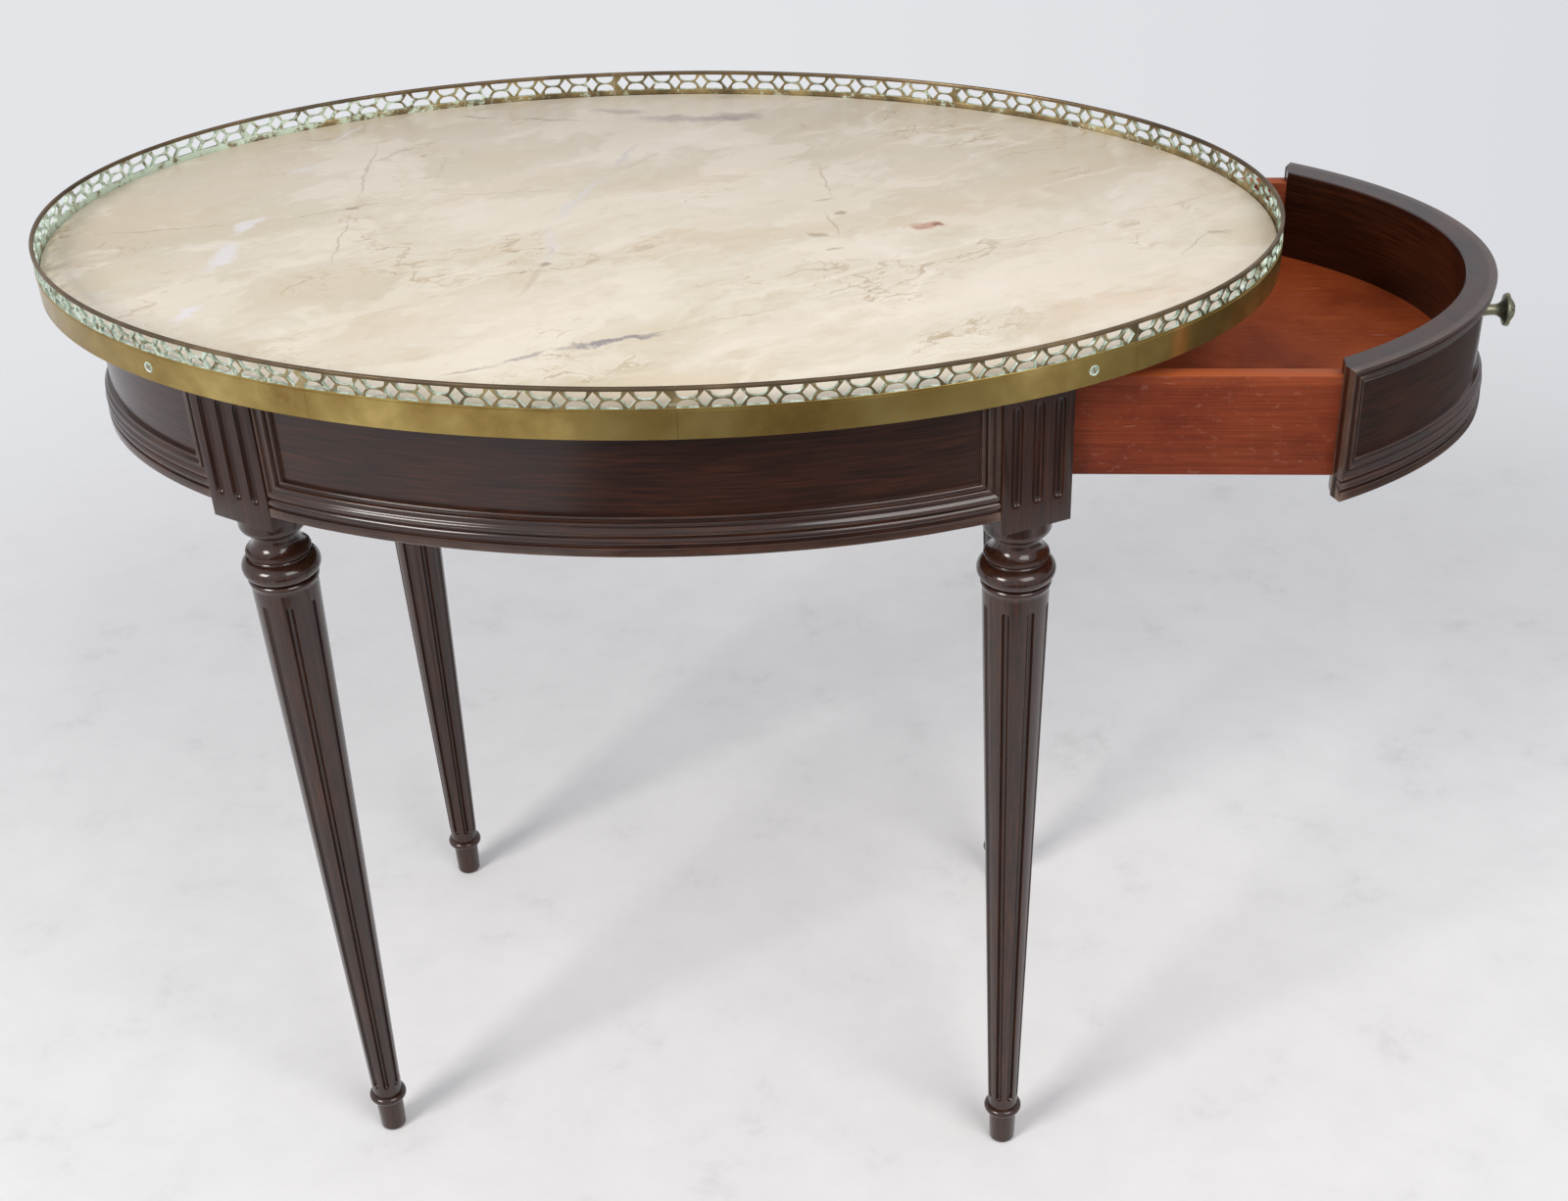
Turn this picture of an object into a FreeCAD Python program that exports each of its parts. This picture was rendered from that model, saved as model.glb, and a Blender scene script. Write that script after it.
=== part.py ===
import FreeCAD, Part

import math
import os

import Sketcher
from FreeCAD import Placement, Rotation, Vector

# An oval table: a marble slab in a pierced brass gallery, a curved mahogany frame on four fluted
# turned legs, and one drawer behind the frame's right-hand end.
#
# Lengths are millimetres and angles are degrees. Every piece is drawn about the middle of the oval
# top, with its height counted from the floor. +X points to the drawer's end, +Y to the back, +Z up.
# The drawer is drawn shut and then placed as far out as it stands open.

SIZES = {
    # The oval top
    "top_length": 904,
    "top_width": 572,
    "table_height": 770,
    "marble_thickness": 8,
    "marble_drop": 18.6,  # from the gallery's top edge down to the marble's face
    "gallery_gap": 0.5,  # between the gallery and what it holds
    # The pierced brass gallery
    "gallery_height": 37,
    "gallery_thickness": 3,
    "band_height": 22,  # the plain band under the piercing
    "rail_height": 2.4,
    "seam_pier": 4,  # the extra width of metal where two castings meet
    "diamond_width": 9.2,
    "dee_width": 13.4,
    "dee_shoulder_width": 8.4,
    "dee_height": 5,
    "dee_bar": 1.3,  # between the upper and the lower half round
    # The legs
    "leg_inset": 55,  # from the top's edge in to the leg's axis
    "leg_bearing": 48.43,  # where the leg stands on its oval
    "block_width": 54.2,
    "block_drop": 12,  # how far the block hangs below the frame
    "block_flute_width": 7.5,
    "block_flute_depth": 2.6,
    "block_flute_spacing": 16,
    "block_flute_foot": 25,  # plain wood under the block's flutes
    "block_flute_head": 14,
    "drum_radius": 24.4,
    "drum_height": 14,
    "drum_bevel": 7,
    "neck_radius": 16.5,
    "neck_height": 11,
    "flare_radius": 22.5,
    "flare_height": 10.5,
    "flare_bevel": 5.8,
    "ring_radius": 27.7,
    "ring_height": 19,
    "ring_bevel": 4.6,
    "ring_lower_bevel": 2.9,
    "shaft_top_radius": 24.4,
    "shaft_foot_radius": 12.2,
    "shaft_flute_width": 5.4,
    "shaft_flute_depth": 2.3,
    "shaft_flute_head": 16,
    "shaft_flute_foot": 11,
    "flute_slope": 3.2,  # the length of a flute's tapered end
    "anklet_radius": 15.1,
    "anklet_height": 7,
    "foot_height": 34,
    "foot_radius": 10.8,
    # The frame
    "frame_height": 103,
    "panel_inset": 33.7,  # from the top's edge in to the panels' faces
    "apron_thickness": 20,
    "moulding_height": 30,
    "moulding_proud": 6.3,
    "bead_width": 13,
    "bead_round": 3.6,
    "moulding_top_proud": 3.2,  # where the moulding's slope meets the panel
    "moulding_slope_height": 12.6,
    "end_rail_width": 40,
    "end_rail_set": 18,  # from the leg's axis in to the end rails' outer edge
    "cross_rail_thickness": 20,
    "cross_rail_gap": 30,  # behind the shut drawer
    "guide_thickness": 12,
    "guide_height": 24,
    "glue_block_length": 44,
    "glue_block_width": 16,
    "glue_block_height": 20,
    "glue_block_place": 120,
    # The drawer
    "drawer_open": 181.7,
    "drawer_end_gap": 1,
    "drawer_top_gap": 3.6,
    "drawer_bottom_gap": 1,
    "drawer_front_thickness": 16,
    "drawer_side_inset": 114,  # from the top's edge in to the drawer's sides
    "drawer_length": 447,  # from the front's inner face to the back
    "drawer_side_thickness": 12,
    "drawer_side_foot": 16,  # from the frame's lower edge up to the drawer's sides
    "drawer_side_height": 75,
    "drawer_back_thickness": 12,
    "drawer_back_drop": 5,
    "drawer_bottom_thickness": 6,
    "drawer_bottom_lift": 8,
    "running_gap": 0.3,
    "knob_stem_radius": 4,
    "knob_stem_length": 18.5,
    "knob_disc_radius": 13,
    "knob_boss_radius": 8,
    "knob_disc_thickness": 4,
    "knob_boss_rise": 4.4,
    "knob_stud_radius": 2,
    "knob_stud_length": 11,  # how far it is screwed into the front
}

# The gallery is cast in lengths of a few motifs each, the first of them starting at this bearing.
STRIP_MOTIFS = (11, 14, 14, 13, 13, 14, 13, 14)
FIRST_SEAM_BEARING = -115.5
SHAFT_FLUTES = 8
BLOCK_FLUTES = 3
LEG_FLATS = 16  # a turned leg is worked in flats
KNOB_FLATS = 24
HALF_TURN = 180
FULL_TURN = 360
QUARTER_TURN = 90

doc = FreeCAD.newDocument("oval_table")
sheet = doc.addObject("Spreadsheet::Sheet", "sizes")
for row, (alias, value) in enumerate(SIZES.items(), start=1):
    sheet.set(f"A{row}", alias)
    sheet.set(f"B{row}", str(value))
    sheet.setAlias(f"B{row}", alias)
doc.recompute()


class Size:
    """A size of the sheet, or one worked out from several: its number now, and the sheet's formula."""

    def __init__(self, number, formula):
        self.number = float(number)
        self.formula = formula

    def __add__(self, other):
        other = as_size(other)
        return Size(self.number + other.number, f"({self.formula} + {other.formula})")

    def __sub__(self, other):
        other = as_size(other)
        return Size(self.number - other.number, f"({self.formula} - {other.formula})")

    def __mul__(self, other):
        other = as_size(other)
        return Size(self.number * other.number, f"({self.formula} * {other.formula})")

    def __truediv__(self, other):
        other = as_size(other)
        return Size(self.number / other.number, f"({self.formula} / {other.formula})")

    def __neg__(self):
        return Size(-self.number, f"(-1 * {self.formula})")

    __radd__ = __add__
    __rmul__ = __mul__

    def __rsub__(self, other):
        return as_size(other) - self


def as_size(value):
    """Plain counts, signs and shares take part in sums of sizes as they are."""
    return value if isinstance(value, Size) else Size(value, repr(value))


def size(alias):
    return Size(sheet.get(alias), f"sizes.{alias}")


def sine(angle):
    return Size(math.sin(math.radians(angle.number)), f"sin({angle.formula} * 1 deg)")


def cosine(angle):
    return Size(math.cos(math.radians(angle.number)), f"cos({angle.formula} * 1 deg)")


def length_of(across, up):
    return Size(math.hypot(across.number, up.number), f"sqrt({across.formula}^2 + {up.formula}^2)")


def larger(one, other):
    return Size(max(one.number, other.number), f"max({one.formula}; {other.formula})")


def bind(thing, path, value):
    """Ties a property, or a sketch's constraint, to the sheet."""
    thing.setExpression(path, value.formula)


ZERO = as_size(0)
HALF_LENGTH = size("top_length") / 2
HALF_WIDTH = size("top_width") / 2

# Heights, from the floor
FRAME_TOP = size("table_height") - size("gallery_height")
FRAME_BOTTOM = FRAME_TOP - size("frame_height")
MOULDING_TOP = FRAME_BOTTOM + size("moulding_height")
BLOCK_BOTTOM = FRAME_BOTTOM - size("block_drop")
MARBLE_TOP = size("table_height") - size("marble_drop")
BOARD_TOP = MARBLE_TOP - size("marble_thickness")
SIDE_BOTTOM = FRAME_BOTTOM + size("drawer_side_foot")
SIDE_TOP = SIDE_BOTTOM + size("drawer_side_height")
FRONT_BOTTOM = FRAME_BOTTOM + size("drawer_bottom_gap")
FRONT_TOP = FRAME_TOP - size("drawer_top_gap")
KNOB_HEIGHT = (MOULDING_TOP + FRONT_TOP - size("bead_width")) / 2

# Places in plan
LEG_OVAL_LENGTH = HALF_LENGTH - size("leg_inset")
LEG_OVAL_WIDTH = HALF_WIDTH - size("leg_inset")
LEG_X = LEG_OVAL_LENGTH * cosine(size("leg_bearing"))
LEG_Y = LEG_OVAL_WIDTH * sine(size("leg_bearing"))
# The block's face is square to the oval on which the leg stands.
NORMAL_X = cosine(size("leg_bearing")) / LEG_OVAL_LENGTH
NORMAL_Y = sine(size("leg_bearing")) / LEG_OVAL_WIDTH
TURN_SINE = NORMAL_X / length_of(NORMAL_X, NORMAL_Y)
TURN_COSINE = NORMAL_Y / length_of(NORMAL_X, NORMAL_Y)
BLOCK_TURN = Size(
    math.degrees(math.atan2(NORMAL_X.number, NORMAL_Y.number)),
    f"(atan({NORMAL_X.formula} / {NORMAL_Y.formula}) / 1 deg)",
)
HALF_BLOCK = size("block_width") / 2
PANEL_LENGTH = HALF_LENGTH - size("panel_inset")
PANEL_WIDTH = HALF_WIDTH - size("panel_inset")
APRON_BACK = size("panel_inset") + size("apron_thickness")
FRONT_BACK = size("panel_inset") + size("drawer_front_thickness")
HALF_DRAWER = HALF_WIDTH - size("drawer_side_inset")
DRAWER_BACK_X = HALF_LENGTH - FRONT_BACK - size("drawer_length")
NOTCH_Y = HALF_DRAWER + size("running_gap")
RAIL_OUTER_X = LEG_X + size("end_rail_set")
RAIL_INNER_X = RAIL_OUTER_X - size("end_rail_width")
CROSS_RAIL_X = DRAWER_BACK_X - size("cross_rail_gap")

# The open drawer's knob reaches past the top, so the middle of the whole table's outline lies
# between the top's left edge and the knob. That point on the floor is the origin.
KNOB_REACH = size("knob_stem_length") + size("knob_disc_thickness") + size("knob_boss_rise")
RIGHT_REACH = larger(PANEL_LENGTH + size("drawer_open") + KNOB_REACH, HALF_LENGTH)
TABLE_X = (HALF_LENGTH - RIGHT_REACH) / 2
DRAWER_X = TABLE_X + size("drawer_open")

# A cutting outline runs this far beyond the table.
BEYOND = size("top_length")

# Points nearer than this are the same point.
NEAR = size("running_gap").number / 10

NODES = {}


# Sketches and features


def new_body(label, across=TABLE_X):
    """Starts a piece in the table's place, or in the drawer's."""
    body = doc.addObject("PartDesign::Body", label)
    body.Label = label
    body.Placement = Placement(Vector(across.number, 0, 0), Rotation())
    bind(body, "Placement.Base.x", across)
    NODES[label] = body
    return body


def origin_feature(body, role):
    return next(item for item in body.Origin.OriginFeatures if item.Role == role)


def attach(item, body, plane, lift, turn=0):
    """Lays a sketch or a primitive on one of the body's planes, lifted and turned on it."""
    item.AttachmentSupport = [(origin_feature(body, plane), "")]
    item.MapMode = "FlatFace"
    turned = Rotation(Vector(0, 0, 1), turn)
    item.AttachmentOffset = Placement(Vector(0, 0, lift.number), turned)
    bind(item, "AttachmentOffset.Base.z", lift)


def new_sketch(body, plane, name, lift=ZERO):
    sketch = body.newObject("Sketcher::SketchObject", f"{body.Name}_{name}")
    attach(sketch, body, plane, lift)
    return sketch


def pin_point(sketch, geometry, end, point):
    """Holds one end of a line at a point given in sizes."""
    for direction, axis, value in (("DistanceX", -2, point[0]), ("DistanceY", -1, point[1])):
        if value is ZERO:
            sketch.addConstraint(Sketcher.Constraint("PointOnObject", geometry, end, axis))
        else:
            index = sketch.addConstraint(
                Sketcher.Constraint(direction, -1, 1, geometry, end, value.number)
            )
            bind(sketch, f"Constraints[{index}]", value)


def outline(sketch, *corners):
    """Draws a closed outline through its corners; the last one is the first again."""
    lines = []
    for here, there in zip(corners, corners[1:]):
        ends = [Vector(corner[0].number, corner[1].number, 0) for corner in (here, there)]
        lines.append(sketch.addGeometry(Part.LineSegment(*ends), False))
    for line, follower, corner in zip(lines, lines[1:] + lines[:1], corners[1:]):
        sketch.addConstraint(Sketcher.Constraint("Coincident", line, 2, follower, 1))
        pin_point(sketch, line, 2, corner)


def oval(sketch, inset, quarter=None):
    """Draws the oval that lies this far inside the top's edge, or only the half of it that starts
    on the given quarter: 0 is the right-hand end, 1 the back, 2 the left-hand end, 3 the front."""
    half_length = HALF_LENGTH - inset
    half_width = HALF_WIDTH - inset
    shape = Part.Ellipse(Vector(0, 0, 0), half_length.number, half_width.number)
    if quarter is not None:
        start = math.radians(QUARTER_TURN * quarter)
        shape = Part.ArcOfEllipse(shape, start, start + math.pi)
    index = sketch.addGeometry(shape, False)
    sketch.exposeInternalGeometry(index)
    sketch.addConstraint(Sketcher.Constraint("Coincident", index, 3, -1, 1))
    sketch.addConstraint(Sketcher.Constraint("Horizontal", index + 1))
    for line, half in ((index + 1, half_length), (index + 2, half_width)):
        held = sketch.addConstraint(Sketcher.Constraint("Distance", line, 2 * half.number))
        bind(sketch, f"Constraints[{held}]", half * 2)
    if quarter is not None:
        axis = -1 if quarter % 2 == 0 else -2
        for end in (1, 2):
            sketch.addConstraint(Sketcher.Constraint("PointOnObject", index, end, axis))


def rectangle(sketch, low, high):
    outline(sketch, low, (high[0], low[1]), high, (low[0], high[1]), low)


def feature(body, kind, sketch, name):
    made = body.newObject(f"PartDesign::{kind}", f"{body.Name}_{name}")
    made.Profile = sketch
    return made


def pad(body, sketch, height, name="pad"):
    made = feature(body, "Pad", sketch, name)
    made.Length = height.number
    bind(made, "Length", height)
    return made


def cut_through(body, sketch, name):
    """Cuts the outline right through the piece, both ways from the sketch."""
    made = feature(body, "Pocket", sketch, name)
    made.Type = 1
    made.Midplane = True
    return made


def keep_inside(body, corners, name="ends"):
    """Cuts away what lies outside a plan outline."""
    sketch = new_sketch(body, "XY_Plane", name)
    rectangle(sketch, (-BEYOND, -BEYOND), (BEYOND, BEYOND))
    outline(sketch, corners[0], *corners[1:], corners[0])
    return cut_through(body, sketch, f"{name}_cut")


def leg_point(side, depth, along, out):
    """A plan point seen from a leg: along its block's face towards the table's end, and outwards.
    Side is 1 for the drawer's end and -1 for the other; depth is 1 for the back, -1 for the front."""
    return (
        side * (LEG_X + TURN_COSINE * along + TURN_SINE * out),
        depth * (LEG_Y - TURN_SINE * along + TURN_COSINE * out),
    )


def side_region(depth, gap=ZERO):
    """The plan between the two leg blocks of a long side."""
    along = -(HALF_BLOCK + gap)
    return [
        leg_point(-1, depth, along, HALF_LENGTH),
        leg_point(-1, depth, along, -size("block_width")),
        leg_point(1, depth, along, -size("block_width")),
        leg_point(1, depth, along, HALF_LENGTH),
    ]


def end_region(side, gap=ZERO):
    """The plan between the two leg blocks of an end."""
    along = HALF_BLOCK + gap
    return [
        leg_point(side, -1, along, HALF_LENGTH),
        leg_point(side, -1, along, -size("block_width")),
        leg_point(side, 1, along, -size("block_width")),
        leg_point(side, 1, along, HALF_LENGTH),
    ]


def bead_region(side, depth, from_along, to_along):
    """A strip in plan, parallel to a leg block's side."""
    return [
        leg_point(side, depth, from_along, HALF_LENGTH),
        leg_point(side, depth, from_along, ZERO),
        leg_point(side, depth, to_along, ZERO),
        leg_point(side, depth, to_along, HALF_LENGTH),
    ]


def oval_piece(label, face_inset, back_inset, bottom, top, region=None, across=TABLE_X):
    """A piece that follows the oval: a whole slab, or a curved bar between two ovals."""
    body = new_body(label, across)
    sketch = new_sketch(body, "XY_Plane", "plan", bottom)
    oval(sketch, face_inset)
    if back_inset is not None:
        oval(sketch, back_inset)
    pad(body, sketch, top - bottom)
    if region is not None:
        keep_inside(body, region)
    return body


def straight_piece(label, low, high, bottom, top, across=TABLE_X):
    """A squared board, given by two corners of its plan."""
    body = new_body(label, across)
    sketch = new_sketch(body, "XY_Plane", "plan", bottom)
    rectangle(sketch, low, high)
    pad(body, sketch, top - bottom)
    return body


def mirrored_plan(depth, low, high):
    """The plan corners of a piece on the front or the back half, lowest corner first."""
    if depth < 0:
        return (low[0], -high[1]), (high[0], -low[1])
    return low, high


# The legs


DRUM_BOTTOM = BLOCK_BOTTOM - size("drum_height")
FLARE_TOP = DRUM_BOTTOM - size("neck_height")
RING_TOP = FLARE_TOP - size("flare_height")
SHAFT_TOP = RING_TOP - size("ring_height")
SHAFT_BOTTOM = size("foot_height") + size("anklet_height")
SHAFT_SLOPE = (size("shaft_top_radius") - size("shaft_foot_radius")) / (SHAFT_TOP - SHAFT_BOTTOM)
FLAT_SHARE = cosine(as_size(HALF_TURN / LEG_FLATS))  # from a leg's axis to a flat, over its radius


def shaft_radius(height):
    """The tapered shaft's radius at a height."""
    return size("shaft_foot_radius") + SHAFT_SLOPE * (height - SHAFT_BOTTOM)


def shaft_face(height):
    """From the leg's axis to the middle of one of the shaft's flats."""
    return shaft_radius(height) * FLAT_SHARE


def band(body, name, radius, bottom, top, plane="XY_Plane", flats=LEG_FLATS):
    """One band of a turned piece, worked in flats."""
    made = body.newObject("PartDesign::AdditivePrism", f"{body.Name}_{name}")
    made.Polygon = flats
    made.Circumradius = radius.number
    made.Height = (top - bottom).number
    bind(made, "Circumradius", radius)
    bind(made, "Height", top - bottom)
    attach(made, body, plane, bottom, HALF_TURN / flats)
    return made


def bevel_rim(body, name, radius, level, width):
    """Bevels the last band's rim at one of its ends."""
    doc.recompute()
    base = body.Tip
    rim = []
    for index, edge in enumerate(base.Shape.Edges, start=1):
        ends = [(math.hypot(point.X, point.Y), point.Z) for point in edge.Vertexes]
        if all(math.dist(end, (radius.number, level.number)) < NEAR for end in ends):
            rim.append(f"Edge{index}")
    bevel = body.newObject("PartDesign::Chamfer", f"{body.Name}_{name}")
    bevel.Base = (base, rim)
    bevel.Size = width.number
    bind(bevel, "Size", width)
    return bevel


def tapered_shaft(body):
    """The shaft, first straight and as wide as its taper would be on the floor, then tapered."""
    shaft = band(body, "shaft", shaft_radius(ZERO), SHAFT_BOTTOM, SHAFT_TOP)
    doc.recompute()
    flats = [
        f"Face{index}"
        for index, face in enumerate(shaft.Shape.Faces, start=1)
        if face.BoundBox.ZLength > NEAR
    ]
    taper = body.newObject("PartDesign::Draft", f"{body.Name}_taper")
    taper.Base = (shaft, flats)
    taper.NeutralPlane = (origin_feature(body, "XY_Plane"), [""])
    taper.Reversed = True
    slope = SHAFT_SLOPE * FLAT_SHARE
    angle = Size(math.degrees(math.atan(slope.number)), f"(atan({slope.formula}) / 1 deg)")
    taper.Angle = angle.number
    bind(taper, "Angle", angle)
    return taper


def turned_bands(body):
    """The ring, flare, neck and drum over the shaft, and the anklet and foot below it."""
    ring, flare, drum = size("ring_radius"), size("flare_radius"), size("drum_radius")
    band(body, "ring", ring, SHAFT_TOP, RING_TOP)
    bevel_rim(body, "ring_top", ring, RING_TOP, size("ring_bevel"))
    bevel_rim(body, "ring_bottom", ring, SHAFT_TOP, size("ring_lower_bevel"))
    band(body, "flare", flare, RING_TOP, FLARE_TOP)
    bevel_rim(body, "flare_top", flare, FLARE_TOP, size("flare_bevel"))
    band(body, "neck", size("neck_radius"), FLARE_TOP, DRUM_BOTTOM)
    band(body, "drum", drum, DRUM_BOTTOM, BLOCK_BOTTOM)
    bevel_rim(body, "drum_bottom", drum, DRUM_BOTTOM, size("drum_bevel"))
    band(body, "anklet", size("anklet_radius"), size("foot_height"), SHAFT_BOTTOM)
    band(body, "foot", size("foot_radius"), ZERO, size("foot_height"))


def flute(body, name, plane_lift, face_at, low, high, width, depth):
    """Cuts one stopped flute in the face towards -Y, between two heights, with sloping ends.
    Face_at gives the distance of the face from the leg's axis at a height."""
    sketch = new_sketch(body, "YZ_Plane", name, plane_lift)
    slope = size("flute_slope")
    outside = depth
    line = [
        (-(face_at(low - slope) + outside), low - slope * 2),
        (-(face_at(low) - depth), low),
        (-(face_at(high) - depth), high),
        (-(face_at(high + slope) + outside), high + slope * 2),
    ]
    outline(sketch, line[0], *line[1:], line[0])
    pocket = feature(body, "Pocket", sketch, f"{name}_cut")
    pocket.Midplane = True
    pocket.Length = width.number
    bind(pocket, "Length", width)
    return pocket


def pattern(body, kind, original, name, count):
    made = body.newObject(f"PartDesign::{kind}", f"{body.Name}_{name}")
    made.Originals = [original]
    made.Occurrences = count
    return made


def leg(label, side, depth, turned):
    """One leg, drawn on its own axis with the fluted face towards -Y, then turned into place."""
    body = new_body(label)
    tapered_shaft(body)
    turned_bands(body)
    square = new_sketch(body, "XY_Plane", "block", BLOCK_BOTTOM)
    rectangle(square, (-HALF_BLOCK, -HALF_BLOCK), (HALF_BLOCK, HALF_BLOCK))
    pad(body, square, FRAME_TOP - BLOCK_BOTTOM, "block_pad")
    shaft_flute = flute(
        body,
        "shaft_flute",
        ZERO,
        shaft_face,
        SHAFT_BOTTOM + size("shaft_flute_foot"),
        SHAFT_TOP - size("shaft_flute_head"),
        size("shaft_flute_width"),
        size("shaft_flute_depth"),
    )
    ring = pattern(body, "PolarPattern", shaft_flute, "flute_ring", SHAFT_FLUTES)
    ring.Axis = (origin_feature(body, "Z_Axis"), [""])
    ring.Angle = FULL_TURN
    body.Tip = ring
    block_flute = flute(
        body,
        "block_flute",
        -size("block_flute_spacing"),
        lambda height: HALF_BLOCK,
        BLOCK_BOTTOM + size("block_flute_foot"),
        FRAME_TOP - size("block_flute_head"),
        size("block_flute_width"),
        size("block_flute_depth"),
    )
    row = pattern(body, "LinearPattern", block_flute, "flute_row", BLOCK_FLUTES)
    row.Direction = (origin_feature(body, "X_Axis"), [""])
    row.Length = size("block_flute_spacing").number * (BLOCK_FLUTES - 1)
    bind(row, "Length", size("block_flute_spacing") * (BLOCK_FLUTES - 1))
    body.Tip = row
    if side > 0:
        notch_for_drawer(body, depth)
    place_leg(body, side, depth, turned)
    return body


def notch_for_drawer(body, depth):
    """Cuts the block's inner corner back so that the drawer runs past it."""
    reach = size("block_width")
    start = LEG_Y - NOTCH_Y

    def corner(into, along):
        return (
            -depth * (TURN_SINE * into + TURN_COSINE * along),
            TURN_COSINE * into - TURN_SINE * along,
        )

    sketch = new_sketch(body, "XY_Plane", "notch", FRAME_TOP)
    first = corner(start, -reach)
    outline(sketch, first, corner(start, reach), corner(reach, reach), corner(reach, -reach), first)
    pocket = feature(body, "Pocket", sketch, "notch_cut")
    pocket.Length = size("frame_height").number
    bind(pocket, "Length", size("frame_height"))


def place_leg(body, side, depth, turned):
    bind(body, "Placement.Base.x", TABLE_X + LEG_X * side)
    bind(body, "Placement.Base.y", LEG_Y * depth)
    body.Placement = Placement(
        Vector((TABLE_X + LEG_X * side).number, (LEG_Y * depth).number, 0),
        Rotation(Vector(0, 0, 1), turned.number),
    )
    bind(body, "Placement.Rotation.Angle", turned)


leg("leg_front_right", 1, -1, BLOCK_TURN)
leg("leg_front_left", -1, -1, FULL_TURN - BLOCK_TURN)
leg("leg_back_right", 1, 1, HALF_TURN - BLOCK_TURN)
leg("leg_back_left", -1, 1, HALF_TURN + BLOCK_TURN)


# The curved frame and its mouldings


def bottom_moulding(label, region, quarter, bottom, across=TABLE_X):
    """The moulding along a panel's lower edge, swept round half of the panel's oval and cut to
    length. The sweep starts on the given quarter."""
    body = new_body(label, across)
    path = new_sketch(body, "XY_Plane", "path", bottom)
    oval(path, size("panel_inset"), quarter)
    along_length = quarter % 2 == 0
    profile = new_sketch(body, "XZ_Plane" if along_length else "YZ_Plane", "profile")
    way = 1 if quarter < 2 else -1
    face = PANEL_LENGTH if along_length else PANEL_WIDTH
    upper = (face + size("moulding_top_proud")) * way
    proud = (face + size("moulding_proud")) * way
    slope_bottom = MOULDING_TOP - size("moulding_slope_height")
    outline(
        profile,
        (face * way, MOULDING_TOP),
        (upper, MOULDING_TOP),
        (proud, slope_bottom),
        (proud, bottom),
        (face * way, bottom),
        (face * way, MOULDING_TOP),
    )
    pipe = feature(body, "AdditivePipe", profile, "sweep")
    pipe.Spine = (path, [])
    pipe.Mode = "Frenet"
    keep_inside(body, region)
    return body


def side_bead(label, side, depth, towards_end, top, across=TABLE_X, gap=ZERO):
    """The upright bead at a panel's end, beside the leg's block, with its inner edge rounded."""
    start = HALF_BLOCK + gap
    stop = start + size("bead_width")
    sign = 1 if towards_end else -1
    region = bead_region(side, depth, start * sign, stop * sign)
    body = oval_piece(
        label,
        size("panel_inset") - size("moulding_proud"),
        size("panel_inset"),
        MOULDING_TOP,
        top,
        region,
        across,
    )
    doc.recompute()
    round_edge(body, lambda place: outer_edge_score(place, side, depth, sign))
    return body


def outer_edge_score(place, side, depth, sign):
    """How far a plan point lies out from a leg and along its face, for picking a bead's edge."""
    across = side * place.x - LEG_X.number
    up = depth * place.y - LEG_Y.number
    along = TURN_COSINE.number * across - TURN_SINE.number * up
    out = TURN_SINE.number * across + TURN_COSINE.number * up
    return sign * along + out


def round_edge(body, score):
    """Rounds the upright edge of the tip that scores highest."""
    base = body.Tip
    upright = []
    for index, edge in enumerate(base.Shape.Edges, start=1):
        box = edge.BoundBox
        if box.ZLength > max(box.XLength, box.YLength):
            upright.append((score(edge.CenterOfMass), f"Edge{index}"))
    fillet = body.newObject("PartDesign::Fillet", f"{body.Name}_round")
    fillet.Base = (base, [max(upright)[1]])
    fillet.Radius = size("bead_round").number
    bind(fillet, "Radius", size("bead_round"))
    return fillet


def panel_side(name, region, quarter):
    """One fixed side of the frame: the curved rail and the moulding along its lower edge."""
    oval_piece(f"apron_{name}", size("panel_inset"), APRON_BACK, FRAME_BOTTOM, FRAME_TOP, region)
    bottom_moulding(f"moulding_{name}", region, quarter, FRAME_BOTTOM)


panel_side("front", side_region(-1), 2)
panel_side("back", side_region(1), 0)
panel_side("left", end_region(-1), 1)
side_bead("bead_front_left", -1, -1, False, FRAME_TOP)
side_bead("bead_front_right", 1, -1, False, FRAME_TOP)
side_bead("bead_back_left", -1, 1, False, FRAME_TOP)
side_bead("bead_back_right", 1, 1, False, FRAME_TOP)
side_bead("bead_left_front", -1, -1, True, FRAME_TOP)
side_bead("bead_left_back", -1, 1, True, FRAME_TOP)


# Inside the frame: the rails that tie the drawer's end together, and what the drawer runs on

RUNNER_TOP = SIDE_BOTTOM - size("running_gap")
KICKER_BOTTOM = SIDE_TOP + size("running_gap")
INNER_Y = HALF_DRAWER - size("drawer_side_thickness") - size("running_gap")

straight_piece(
    "end_rail_lower", (RAIL_INNER_X, -NOTCH_Y), (RAIL_OUTER_X, NOTCH_Y), FRAME_BOTTOM, RUNNER_TOP
)
straight_piece(
    "end_rail_upper", (RAIL_INNER_X, -NOTCH_Y), (RAIL_OUTER_X, NOTCH_Y), KICKER_BOTTOM, FRAME_TOP
)
cross_rail = straight_piece(
    "cross_rail",
    (CROSS_RAIL_X - size("cross_rail_thickness"), -HALF_WIDTH),
    (CROSS_RAIL_X, HALF_WIDTH),
    FRAME_BOTTOM,
    FRAME_TOP,
)
inside = new_sketch(cross_rail, "XY_Plane", "inside")
rectangle(inside, (-BEYOND, -BEYOND), (BEYOND, BEYOND))
oval(inside, APRON_BACK)
cut_through(cross_rail, inside, "inside_cut")

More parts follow.
